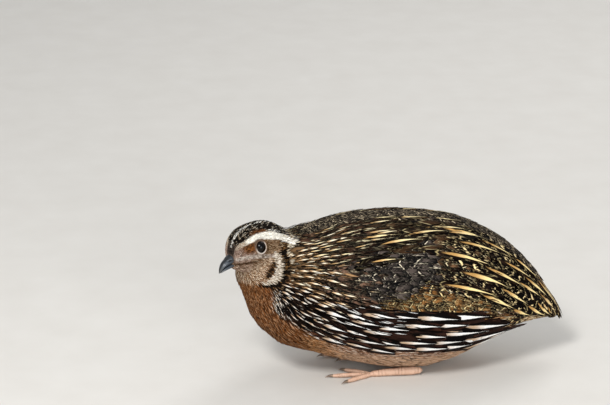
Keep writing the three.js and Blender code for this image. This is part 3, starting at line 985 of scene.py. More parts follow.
@dataclass
class Skin:
    """One skin over head, neck, body, wings and tail, as deep below the coat as its feathers need.

    The lids' places are reaches from the middle of an eye's opening, and their heights are millimetres.
    """

    voxel: float = 1.0
    join: float = 0.4
    face_depth: float = 0.0
    crown_depth: float = 0.8
    neck_depth: float = 0.7
    body_depth: float = 1.5
    tail_depth: float = 1.7
    tail_start: tuple[float, float] = (60.0, 74.0)
    neck_start: tuple[float, float] = (-38.0, -50.0)
    crown_start: tuple[float, float] = (-8.0, 4.0)
    head_edge: tuple[float, float] = (22.0, 17.0)
    passes: int = 2
    lid_rise: float = 0.4
    lid_fall: float = 0.35
    lid_outer: tuple[float, float] = (1.1, 1.45)
    lid_inner: tuple[float, float] = (0.9, 1.04)
    lid_blend: tuple[float, float] = (2.1, 1.35)
    lid_refined: tuple[float, ...] = (3.4, 2.6, 2.2)
    socket: float = 0.86
    crease: float = 0.22
    crease_at: float = 1.62
    crease_end: float = 3.0
    bare_lid: tuple[float, float] = (1.45, 1.25)
    # middles and half sizes of the rounded flesh round the root of the bill and under it, on the head
    muzzle: tuple = (((0, -12.9, -1.9), (4.0, 4.5, 4.0)), ((0, -14.6, -5.6), (2.3, 4.9, 1.5)))
    piece: bpy.types.Object | None = None

    def depth(self, points: np.ndarray) -> np.ndarray:
        """How far the skin lies inside the coat at each point."""
        local = HEAD.inward(points)
        depth = self.body_depth + (self.tail_depth - self.body_depth) * ramp(points[:, 1], *self.tail_start)
        depth += (self.neck_depth - depth) * ramp(points[:, 1], *self.neck_start)
        head = self.face_depth + (self.crown_depth - self.face_depth) * ramp(local[:, 1], *self.crown_start)
        return depth + (head - depth) * ramp(np.linalg.norm(local, axis=1), *self.head_edge)

    def build(self) -> bpy.types.Object:
        """Joins the flesh, draws it in by the coat's depth, opens the lids and paints it."""
        flesh = merged_copy((*FLESH, "eye_left", "eye_right"), self.join)
        self.add_muzzle(flesh)
        mesh = remeshed(flesh, self.voxel, 5)
        for _ in range(self.passes):
            points = places(mesh)
            depth = (self.depth(points) + self.join) / self.passes
            move_vertices(mesh, points - vertex_normals(mesh) * depth[:, None])
            mesh = remeshed(mesh, self.voxel, 2)
        mesh = self.open_lids(mesh)
        mesh.name = "skin"
        self.piece = in_scene(bpy.data.objects.new("skin", mesh))
        self.paint()
        return self.piece

    def add_muzzle(self, flesh: bpy.types.Mesh) -> None:
        """Adds the rounded flesh from which the feathers round the bill grow."""
        bm = bmesh.new()
        bm.from_mesh(flesh)
        for middle, sizes in self.muzzle:
            made = bmesh.ops.create_uvsphere(bm, u_segments=24, v_segments=16, radius=1)["verts"]
            spots = np.array([vert.co for vert in made]) * np.array(sizes) + np.array(middle)
            for vert, spot in zip(made, HEAD.outward(spots) * MM):
                vert.co = spot
        bm.to_mesh(flesh)
        bm.free()

    def open_lids(self, mesh: bpy.types.Mesh) -> bpy.types.Mesh:
        """Refines the skin round the eyes, parts it over them and rolls its edge into lids."""
        bm = bmesh.new()
        bm.from_mesh(mesh)
        for bound in self.lid_refined:
            spots = HEAD.inward(np.array([vert.co for vert in bm.verts]) / MM)
            close = EYE.nearer_reach(spots) < bound
            bm.verts.index_update()
            edges = [edge for edge in bm.edges if close[edge.verts[0].index] and close[edge.verts[1].index]]
            bmesh.ops.subdivide_edges(bm, edges=edges, cuts=1, use_grid_fill=True, smooth=0.4)
        bmesh.ops.triangulate(bm, faces=[face for face in bm.faces if len(face.verts) > 4])
        bmesh.ops.recalc_face_normals(bm, faces=bm.faces)
        local = HEAD.inward(np.array([vert.co for vert in bm.verts]) / MM)
        for side in SIDES.values():
            local = self.shape_lids(local, side)
        for vert, spot in zip(bm.verts, HEAD.outward(local) * MM):
            vert.co = spot
        bm.to_mesh(mesh)
        bm.free()
        mesh.polygons.foreach_set("use_smooth", np.ones(len(mesh.polygons), bool))
        mesh.update()
        return mesh

    def shape_lids(self, local: np.ndarray, side: int) -> np.ndarray:
        """Moves skin round one eye.

        Args:
            local: the skin's points in the head's own frame.
            side: 1 for the left eye and -1 for the right one.

        Returns:
            The points with that eye's lids.
        """
        middle, _ = EYE.axes(side)
        reach = EYE.reach(local, side)
        gap = local - middle
        height = np.linalg.norm(gap, axis=1)
        lid = EYE.radius + self.lid_rise * (1 - self.lid_fall * ramp(reach, *self.lid_outer))
        hollow = EYE.radius * self.socket
        wanted = hollow + (lid - hollow) * ramp(reach, *self.lid_inner)
        moved = height + (wanted - height) * ramp(reach, *self.lid_blend)
        crease = self.crease * ramp(np.abs(reach - self.crease_at), self.crease, 0.0)
        return middle + unit(gap) * (moved - crease * (reach < self.crease_end))[:, None]

    def paint(self) -> None:
        """Gives the skin the coat's colours, darkened as painted shade under the coat, and its material."""
        mesh = self.piece.data
        points = places(mesh)
        dress = Markings().read(points)
        bare = ramp(EYE.nearer_reach(HEAD.inward(points)), *self.bare_lid)
        # painted shade: away from the bare lids the coat's colours are darkened, so skin seen between the
        # feathers reads as shade
        ground = dress.ground * (0.75 + 0.25 * bare[:, None])
        add_attributes(mesh, {"ground": ground}, {"bare": np.repeat(bare[:, None], 3, 1)})
        mesh.materials.append(SkinFinish().make())
        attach(self.piece, "root")
        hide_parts(*FLESH)


class Ground:
    """The skin as something to stand feathers on: nearest spots, smooth normals and random places."""

    def __init__(self, piece: bpy.types.Object) -> None:
        """Reads the skin's mesh."""
        mesh = piece.data
        mesh.calc_loop_triangles()
        faces = np.empty(len(mesh.loop_triangles) * 3, np.int32)
        mesh.loop_triangles.foreach_get("vertices", faces)
        self.faces = faces.reshape(-1, 3)
        self.points = places(mesh)
        self.soft = unit(vertex_normals(mesh)[self.faces].mean(1))
        self.tree = BVHTree.FromPolygons(self.points.tolist(), self.faces.tolist())

    def nearest(self, points: np.ndarray) -> tuple[np.ndarray, np.ndarray, np.ndarray]:
        """The nearest spots of the skin.

        Args:
            points: places near the skin.

        Returns:
            The spots, their normals and how far away they are.
        """
        hits = [self.tree.find_nearest(point) for point in points.tolist()]
        spots = np.array([hit[0] for hit in hits])
        normals = self.soft[[hit[2] for hit in hits]]
        return spots, normals, np.array([hit[3] for hit in hits])

    def cast(self, starts: np.ndarray, directions: np.ndarray) -> np.ndarray:
        """Where rays first meet the skin."""
        hits = [self.tree.ray_cast(*ray)[0] for ray in zip(starts.tolist(), directions.tolist())]
        return np.array([hit if hit is not None else (np.nan,) * 3 for hit in hits])

    def scatter(self, count: int, dice: np.random.Generator) -> np.ndarray:
        """So many random places, even over the skin's area."""
        a, b, c = (self.points[self.faces[:, i]] for i in range(3))
        area = np.linalg.norm(np.cross(b - a, c - a), axis=1)
        pick = dice.choice(len(area), count, p=area / area.sum())
        u, v = dice.random(count), dice.random(count)
        flip = u + v > 1
        u, v = np.where(flip, 1 - u, u)[:, None], np.where(flip, 1 - v, v)[:, None]
        return a[pick] + u * (b - a)[pick] + v * (c - a)[pick]


# Feathers

@dataclass(frozen=True)
class Guide:
    """At a place of the bird, which way the feathers lie and how long they are."""

    at: tuple[float, float, float]
    toward: tuple[float, float, float]
    length: float


HEAD_GUIDES = (
    Guide((0, -15, 3.5), (0, 0.2, 1), 1.5), Guide((2.5, -15.5, 0.5), (0.5, 0.4, 0.5), 1.2),
    Guide((2.8, -16.5, -2.2), (0.5, 0.9, 0.15), 1.1), Guide((0, -9, 10), (0, 1, 0.35), 2.3),
    Guide((0, 0, 11), (0, 1, -0.05), 2.8), Guide((0, 10, 8), (0, 1, -0.45), 3.4),
    Guide((6, -12, 5), (0.3, 1, 0.35), 1.7), Guide((8.5, -4, 8), (0.15, 1, -0.05), 2.0),
    Guide((10, 4, 5), (0.2, 1, -0.35), 2.8), Guide((9, -10, 1), (0.35, 1, 0.05), 1.4),
    Guide((12, 0, 1), (0.3, 1, -0.1), 1.8), Guide((12.5, 5, -1), (0.25, 1, -0.35), 3.0),
    Guide((9.5, -7, -3), (0.3, 1, -0.15), 1.6), Guide((8, -8, -8), (0.35, 1, -0.35), 2.2),
    Guide((9, -3, -12), (0.3, 0.8, -0.6), 2.8), Guide((3, -14, -6), (0.3, 0.8, -0.5), 1.4),
    Guide((0, -18.5, -6.4), (0, 1, -0.25), 1.3), Guide((0, -12, -9), (0, 0.6, -0.8), 2.0),
    Guide((13, 3, -8), (0.3, 0.9, -0.4), 3.2),
)
BODY_GUIDES = (
    Guide((0, -50, 77), (0, 1, 0.15), 5), Guide((0, -30, 81), (0, 1, 0.1), 8),
    Guide((0, 0, 83), (0, 1, 0), 9), Guide((0, 30, 78), (0, 1, -0.25), 9),
    Guide((0, 52, 65), (0, 1, -0.8), 9), Guide((0, 70, 48), (0, 0.85, -1), 9),
    Guide((0, 85, 32), (0, 0.55, -1), 8), Guide((0, 88, 25), (0, 0.5, -1), 6),
    Guide((14, -48, 72), (0.3, 1, 0), 5), Guide((24, -50, 60), (0.45, 1, -0.15), 5.5),
    Guide((30, -42, 52), (0.4, 1, -0.25), 7), Guide((28, -20, 72), (0.1, 1, -0.05), 8),
    Guide((36, 0, 60), (0, 1, -0.15), 9), Guide((33, 30, 60), (-0.1, 1, -0.45), 9),
    Guide((26, 50, 52), (-0.3, 1, -0.7), 9), Guide((16, 70, 40), (-0.35, 1, -0.8), 9),
    Guide((10, -72, 46), (0.25, 0.35, -1), 5), Guide((0, -78, 56), (0, 0.1, -1), 3.5),
    Guide((0, -76, 48), (0, 0.25, -1), 4.5), Guide((0, -70, 36), (0, 0.45, -1), 6.5),
    Guide((16, -64, 40), (0.35, 0.6, -0.9), 6), Guide((0, -60, 24), (0, 0.9, -0.8), 8),
    Guide((20, -56, 30), (0.35, 0.9, -0.6), 8), Guide((0, -40, 9), (0, 1, -0.3), 9),
    Guide((22, -35, 16), (0.15, 1, -0.3), 9), Guide((33, -30, 36), (0.2, 1, -0.4), 9),
    Guide((0, 0, 0), (0, 1, 0), 9), Guide((20, 0, 4), (0, 1, 0), 9), Guide((34, 0, 24), (0, 1, -0.1), 9),
    Guide((38, 0, 42), (0, 1, -0.12), 9), Guide((33, 35, 30), (-0.2, 1, -0.05), 9),
    Guide((20, 40, 10), (-0.15, 1, 0.25), 10), Guide((0, 50, 12), (0, 1, 0.4), 10),
    Guide((12, 65, 22), (-0.2, 1, 0.15), 10), Guide((0, 80, 22), (0, 1, -0.1), 8),
)


class Comb:
    """The lie of the coat: directions and lengths between the guides.

    Softness keeps a guide from holding everything beside it. Round an eye, feathers turn away from it where
    their reach is in the parting, and push is how much of their way towards it is taken off.
    """

    softness: float = 3.0
    parting: tuple[float, float] = (2.6, 1.6)
    push: float = 1.1
    spread: float = 0.1

    def __init__(self) -> None:
        """Mirrors the guides and puts the head's into the bird's frame."""
        spots, ways, lengths = [], [], []
        for guides, pose in ((HEAD_GUIDES, HEAD), (BODY_GUIDES, None)):
            for guide in guides:
                for side in SIDES.values() if guide.at[0] else (1,):
                    at, toward = np.array(guide.at) * (side, 1, 1), np.array(guide.toward) * (side, 1, 1)
                    spots.append(pose.outward(at) if pose else at)
                    ways.append(unit(pose.turn() @ toward if pose else toward))
                    lengths.append(guide.length)
        self.at, self.ways, self.lengths = np.array(spots), np.array(ways), np.array(lengths)

    def pull(self, points: np.ndarray) -> np.ndarray:
        """How strongly each guide acts at each point."""
        gaps = ((points[:, None] - self.at[None]) ** 2).sum(2) + self.softness
        weight = gaps ** -2
        return weight / weight.sum(1, keepdims=True)

    def length(self, points: np.ndarray) -> np.ndarray:
        """How long the feathers are at each point."""
        return self.pull(points) @ self.lengths

    def way(self, points: np.ndarray, normals: np.ndarray) -> np.ndarray:
        """Which way the feathers lie on the surface at each point, parting round the eyes."""
        ways = self.pull(points) @ self.ways
        local = HEAD.inward(points)
        for side in SIDES.values():
            middle, _ = EYE.axes(side)
            away = unit(local - middle) @ HEAD.turn().T
            away = along_surface(away, normals)
            inward = np.minimum((ways * away).sum(1, keepdims=True), 0)
            near = ramp(EYE.reach(local, side), *self.parting)[:, None]
            ways = ways - away * inward * near * self.push + away * near * self.spread
        return along_surface(ways, normals)


@dataclass(frozen=True)
class VaneCut:
    """How one kind of feather is cut: where its rings stand, how wide it is at each, and its cross-section.

    Camber is how far the edges hang below the shaft, as a share of half the width, thickness is in
    millimetres, and fray is how rough the outline is.
    """

    corners: int
    shares: tuple[float, ...]
    widths: tuple[float, ...]
    camber: float
    thickness: float
    fray: float
    tip: float = 0.9
    thinning: float = 0.6

    def prototype(self) -> Prototype:
        """The bar that these feathers are bent from."""
        return Prototype.cut(self.corners, self.shares)


class Cut(Enum):
    """The kinds of feather."""

    TUFT = VaneCut(3, (0, 0.4, 0.75, 1), (0.6, 1, 0.7, 0.1), 0.1, 0.1, 0.1)
    LOCK = VaneCut(4, (0, 0.3, 0.6, 0.85, 1), (0.5, 1, 0.9, 0.55, 0.08), 0.15, 0.08, 0.09)
    CONTOUR = VaneCut(10, (0, 0.3, 0.55, 0.75, 0.9, 1), (0.28, 0.85, 1, 0.88, 0.6, 0.2), 0.2, 0.05, 0.07)
    POINTED = VaneCut(8, (0, 0.2, 0.4, 0.6, 0.75, 0.88, 1), (0.3, 0.8, 1, 0.92, 0.68, 0.4, 0.06),
                      0.24, 0.05, 0.045)
    BLADE = VaneCut(10, (0, 0.2, 0.4, 0.6, 0.8, 0.93, 1), (0.3, 0.8, 1, 0.98, 0.88, 0.64, 0.28),
                    0.24, 0.05, 0.04)
    BROAD = VaneCut(12, (0, 0.2, 0.4, 0.6, 0.76, 0.88, 0.96, 1),
                    (0.25, 0.75, 0.97, 1, 0.92, 0.74, 0.5, 0.2), 0.16, 0.04, 0.035)
    QUILL = VaneCut(12, (0, 0.15, 0.35, 0.55, 0.75, 0.88, 0.96, 1), (0.3, 0.8, 1, 1, 0.94, 0.74, 0.5, 0.2),
                    0.14, 0.035, 0.025)


@dataclass
class Spray:
    """Feathers of one kind, laid but not yet made: their centre lines and what they wear."""

    cut: Cut
    middle: np.ndarray
    outward: np.ndarray
    ahead: np.ndarray
    half_width: np.ndarray
    dress: Dress
    flat: np.ndarray

    def points(self, bar: Prototype, dice: np.random.Generator) -> np.ndarray:
        """Bends the bar into every feather.

        Args:
            bar: the cut's prototype.
            dice: what makes the outlines differ.

        Returns:
            The vertices, one row of them for each feather.
        """
        cut = self.cut.value
        count = len(self.middle)
        rings, across = len(cut.shares), bar.across()
        out = np.abs(across)
        width = np.array(cut.widths)[bar.ring]
        rough = 1 + dice.normal(0, cut.fray, (count, rings, 2))[:, bar.ring, (bar.x > 0).astype(int)]
        column = np.unique(np.round(across, 3), return_inverse=True)[1]
        slide = dice.normal(0, cut.fray, (count, rings, column.max() + 1))[:, bar.ring, column]
        slide = slide * np.maximum(out ** 4, np.array(cut.shares)[bar.ring] > cut.tip)
        length = np.linalg.norm(self.middle[:, -1] - self.middle[:, 0], axis=1)[:, None]
        side = np.cross(self.outward, self.ahead)[:, bar.ring]
        reach = self.half_width[:, None] * width
        thick = bar.y * cut.thickness * np.sqrt(width) * (1 - out * cut.thinning)
        height = thick - cut.camber * across ** 2 * reach
        return (self.middle[:, bar.ring] + side * (across * reach * rough)[..., None]
                + self.outward[:, bar.ring] * height[..., None]
                + self.ahead[:, bar.ring] * (slide * length)[..., None])


def feather_mesh(name: str, sprays: list[Spray], finish: PlumageFinish,
                 dice: np.random.Generator) -> bpy.types.Object:
    """Makes a piece of the coat.

    Args:
        name: the piece's name.
        sprays: its feathers.
        finish: how they look.
        dice: what makes their edges differ.

    Returns:
        The piece, which rides on the bird.
    """
    patch, margin = 0.003, 0.01
    points, triangles, vane, root = [], [], [], []
    wear = {title: [] for title in ("ground", "mark", "dark", "form", "trim", "seed")}
    start = 0
    flats = np.concatenate([spray.flat for spray in sprays])
    low, high = flats.min(0), flats.max(0)
    for spray in sprays:
        bar = spray.cut.value.prototype()
        count, corners = len(spray.middle), len(bar.x)
        points.append(spray.points(bar, dice).reshape(-1, 3))
        offset = start + np.arange(count)[:, None, None] * corners
        triangles.append((bar.triangles[None] + offset).reshape(-1, 3))
        start += count * corners
        shares = np.array(spray.cut.value.shares)[bar.ring]
        spot = np.stack([0.5 + 0.5 * bar.across(), shares], 1)
        vane.append(np.tile(spot, (count, 1)))
        home = margin + (1 - 2 * margin) * (spray.flat - low) / (high - low)
        root.append((home[:, None] + (spot[None] - 0.5) * patch).reshape(-1, 2))
        for title, rows in wear.items():
            rows.append(np.repeat(getattr(spray.dress, title), corners, axis=0))
    worn = {title: np.concatenate(rows) for title, rows in wear.items()}
    vectors = {title: worn.pop(title) for title in ("form", "trim", "seed")}
    piece = joined_mesh(name, np.concatenate(points), np.concatenate(triangles),
                        {"OFBake": np.concatenate(root), "vane": np.concatenate(vane)}, worn, vectors)
    piece.data.materials.append(finish.make())
    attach(piece, "root")
    count = sum(len(spray.middle) for spray in sprays)
    LOG.info("%s: %d feathers, %d triangles", name, count, len(piece.data.polygons))
    return piece


@dataclass
class Feathering:
    """Lays feathers on the skin.

    A feather comes loose from the skin and goes on straight where its next ring would be further off than
    loose_share of the step and loose_gap together. Shown is how far along it its tones are read.
    """

    ground: Ground
    comb: Comb
    marks: Markings
    dice: np.random.Generator
    variety: Variety = Variety()
    loose_share: float = 0.25
    loose_gap: float = 0.3
    lift_spread: float = 0.08
    shown: float = 0.7

    def lay(self, cut: Cut, roots: np.ndarray, lengths: np.ndarray, half_widths: np.ndarray, *,
            lift: float, rise: float | np.ndarray, sway: float, ways: np.ndarray | None = None,
            keep: float = 0.5, wear: Pattern | None = None, on_head: bool = False) -> Spray:
        """Lays feathers from their roots along the coat.

        Args:
            cut: the kind of feather.
            roots: where they grow from.
            lengths: how long they are.
            half_widths: half of how wide they are.
            lift: how high the root is over the skin.
            rise: how much higher the feather gets over its length, as a share of it.
            sway: how far they turn from the lie at random, in degrees.
            ways: which way they start, if not along the lie of the coat.
            keep: how much of its own way a feather keeps instead of following the lie.
            wear: the tone that they wear, if not their place's.
            on_head: whether their map is the head's.

        Returns:
            The feathers.
        """
        shares = np.array(cut.value.shares)
        spot, normal, _ = self.ground.nearest(roots)
        way = along_surface(ways, normal) if ways is not None else self.comb.way(spot, normal)
        turn = np.radians(self.dice.normal(0, sway, len(roots)))[:, None]
        way = unit(way * np.cos(turn) + np.cross(normal, way) * np.sin(turn))
        spots, normals, ahead = [spot], [normal], [way]
        for first, second in zip(shares[:-1], shares[1:]):
            step = ((second - first) * lengths)[:, None]
            free = spots[-1] + ahead[-1] * step
            near, normal, gap = self.ground.nearest(free)
            loose = (gap > self.loose_share * step[:, 0] + self.loose_gap)[:, None]
            spot = np.where(loose, free, near)
            normal = np.where(loose, normals[-1], unit(normal + normals[-1]))
            lie = self.comb.way(spot, normal)
            way = along_surface(np.where(loose, ahead[-1], ahead[-1] * keep + lie * (1 - keep)), normal)
            spots.append(spot)
            normals.append(normal)
            ahead.append(way)
        middle, outward, forward = (np.stack(rows, 1) for rows in (spots, normals, ahead))
        height = lift + (rise * lengths)[:, None, None] * shares[None, :, None]
        height = height * self.dice.normal(1, self.lift_spread, (len(roots), 1, 1))
        shown = middle[:, np.abs(shares - self.shown).argmin()]
        dress = Dress.plain(wear, len(roots)) if wear else self.marks.read(shown)
        dress.vary(self.dice, self.variety)
        flat = self.flat(middle[:, 0], on_head)
        return Spray(cut, middle + outward * height, outward, forward, half_widths, dress, flat)

    @staticmethod
    def flat(roots: np.ndarray, on_head: bool) -> np.ndarray:
        """Where roots lie on an unwrap of the skin.

        Args:
            roots: where feathers grow from.
            on_head: whether the unwrap is the head's and not the body's.

        Returns:
            How far round from the line above, which is negative on the right, and how far back.
        """
        if not on_head:
            return np.stack([CHART.girth(roots) * np.sign(roots[:, 0] + SAME_SPOT), roots[:, 1]], 1)
        x, y, z = (HEAD.inward(roots) + (0, 0, HEAD.core)).T
        return np.stack([np.arctan2(x, z) / math.pi, y + np.hypot(x, z) * 0.5], 1)

    @staticmethod
    def thin_out(spots: np.ndarray, spacing: np.ndarray) -> np.ndarray:
        """Picks spots that aren't crowded.

        Args:
            spots: places, the ones that matter more first.
            spacing: how far each keeps later ones away.

        Returns:
            The numbers of the spots to keep.
        """
        tree = KDTree(len(spots))
        for number, spot in enumerate(spots.tolist()):
            tree.insert(spot, number)
        tree.balance()
        free = np.ones(len(spots), bool)
        kept = []
        for number, (spot, gap) in enumerate(zip(spots.tolist(), spacing.tolist())):
            if free[number]:
                kept.append(number)
                for _, other, _ in tree.find_range(spot, gap):
                    free[other] = False
        return np.array(kept)


@dataclass(frozen=True)
class Tract:
    """Rows of feathers that run back along the body, between an inner and an outer row.

    Pairs are values at the tract's start and end. A row's place is how far round from the spine it runs.
    Shown is the share of a feather's length that the feather before it in its row leaves bare.
    """

    cut: Cut
    start: float
    end: float
    inner: tuple[float, float]
    outer: tuple[float, float]
    rows: int
    length: tuple[float, float]
    width: tuple[float, float]
    shown: float = 0.5
    lift: float = 0.6
    rise: float = 0.06
    wear: Pattern | None = None
    sway: float = 3.5
    keep: float = 0.7
    root_spread: float = 0.05
    length_spread: float = 0.08
    width_spread: float = 0.07

    def places(self, row: int) -> np.ndarray:
        """How far back each feather of a row has its root: further apart where the feathers are longer."""
        backs = [self.start]
        while backs[-1] < self.end:
            backs.append(backs[-1] + self.shown * np.interp(backs[-1], (self.start, self.end), self.length))
        backs = np.array(backs)
        return (backs + (row % 2) * np.gradient(backs) / 2)[:-1]

    def roots(self, ground: Ground, side: int) -> tuple[np.ndarray, np.ndarray]:
        """Where the tract's feathers grow and which way they start.

        Args:
            ground: the skin.
            side: 1 for left and -1 for right.

        Returns:
            The roots and the directions.
        """
        backs, girths, next_girths = [], [], []
        for row in range(self.rows):
            share = row / max(self.rows - 1, 1)
            ends = [a + (b - a) * share for a, b in zip(self.inner, self.outer)]
            backs.append(self.places(row))
            girths.append(np.interp(backs[-1], (self.start, self.end), ends))
            next_girths.append(girths[-1] + (ends[1] - ends[0]) / (self.end - self.start))
        back, girth, next_girth = (np.concatenate(rows) for rows in (backs, girths, next_girths))
        sides = np.full(len(back), float(side))
        here = ground.cast(*CHART.outside(back, girth, sides))
        there = ground.cast(*CHART.outside(back + 1, next_girth, sides))
        good = ~np.isnan(here + there).any(1)
        return here[good], unit(there[good] - here[good])

    def spray(self, work: Feathering, side: int) -> Spray:
        """Lays the tract on one side: 1 for left and -1 for right."""
        dice = work.dice
        roots, ways = self.roots(work.ground, side)
        ends = (self.start, self.end)
        size, broad = (np.interp(roots[:, 1], ends, pair) for pair in (self.length, self.width))
        roots = roots + dice.normal(0, self.root_spread, roots.shape) * broad[:, None]
        size = size * dice.normal(1, self.length_spread, len(roots))
        broad = broad * dice.normal(1, self.width_spread, len(roots))
        return work.lay(self.cut, roots, size, broad / 2, lift=self.lift, rise=self.rise, sway=self.sway,
                        ways=ways, keep=self.keep, wear=self.wear)


TRACTS = {
    "mantle": (
        Tract(Cut.POINTED, -54, -36, (0.17, 0.12), (0.4, 0.49), 10, (9, 11), (2.5, 3.8), 0.46, 0.4, 0.07,
              Pattern.NECK_SIDE),
        Tract(Cut.POINTED, -50, -12, (0.04, 0.035), (0.34, 0.2), 8, (13, 20), (3.8, 5.4), 0.5, 0.55, 0.055,
              Pattern.MANTLE),
    ),
    "scapulars": (
        Tract(Cut.POINTED, -24, 18, (0.05, 0.05), (0.31, 0.15), 5, (26, 34), (6.0, 6.4), 0.52, 0.9, 0.035,
              Pattern.SCAPULAR),
    ),
    "spine": (
        Tract(Cut.CONTOUR, -48, 70, (0.0, 0.0), (0.045, 0.05), 3, (10, 13), (6.0, 7.0), 0.42, 0.9, 0.06,
              Pattern.SPINE),
    ),
    "rump": (
        Tract(Cut.CONTOUR, 18, 70, (0.07, 0.07), (0.36, 0.3), 6, (14, 12), (7.0, 6.0), 0.42, 0.7, 0.05,
              Pattern.RUMP_DARK),
        Tract(Cut.POINTED, 10, 70, (0.1, 0.08), (0.36, 0.26), 5, (40, 24), (5.8, 4.6), 0.56, 1.1, 0.03,
              Pattern.RUMP),
    ),
    "coverts": (
        Tract(Cut.CONTOUR, -42, -22, (0.32, 0.28), (0.48, 0.44), 8, (10, 13), (4.6, 6), 0.42, 0.4, 0.035,
              Pattern.LESSER),
        Tract(Cut.BROAD, -28, 2, (0.3, 0.22), (0.42, 0.4), 5, (17, 22), (8.5, 11), 0.42, 0.5, 0.025,
              Pattern.COVERT),
        Tract(Cut.BROAD, 8, 34, (0.22, 0.19), (0.4, 0.39), 5, (22, 20), (10, 9.5), 0.42, 0.5, 0.025,
              Pattern.COVERT_REAR),
    ),
    "flight": (
        Tract(Cut.QUILL, -6, 30, (0.42, 0.4), (0.48, 0.47), 4, (20, 24), (8, 9), 0.33, 0.35, 0.045,
              Pattern.WING_FEATHER),
    ),
    "flank": (
        Tract(Cut.POINTED, -60, -38, (0.39, 0.46), (0.56, 0.66), 7, (8, 12), (2.8, 4.2), 0.5, 0.45, 0.07,
              Pattern.BREAST_SIDE),
        Tract(Cut.BLADE, -44, 28, (0.5, 0.51), (0.67, 0.675), 5, (18, 38), (6.6, 9.6), 0.45, 0.75, 0.045,
              Pattern.FLANK),
    ),
}


@dataclass(frozen=True)
class Down:
    """How one part of the small feathers is made. Broad is a feather's width as a share of its length."""

    name: str
    cut: Cut
    broad: float
    rise: float
    finish: PlumageFinish
    slot: str


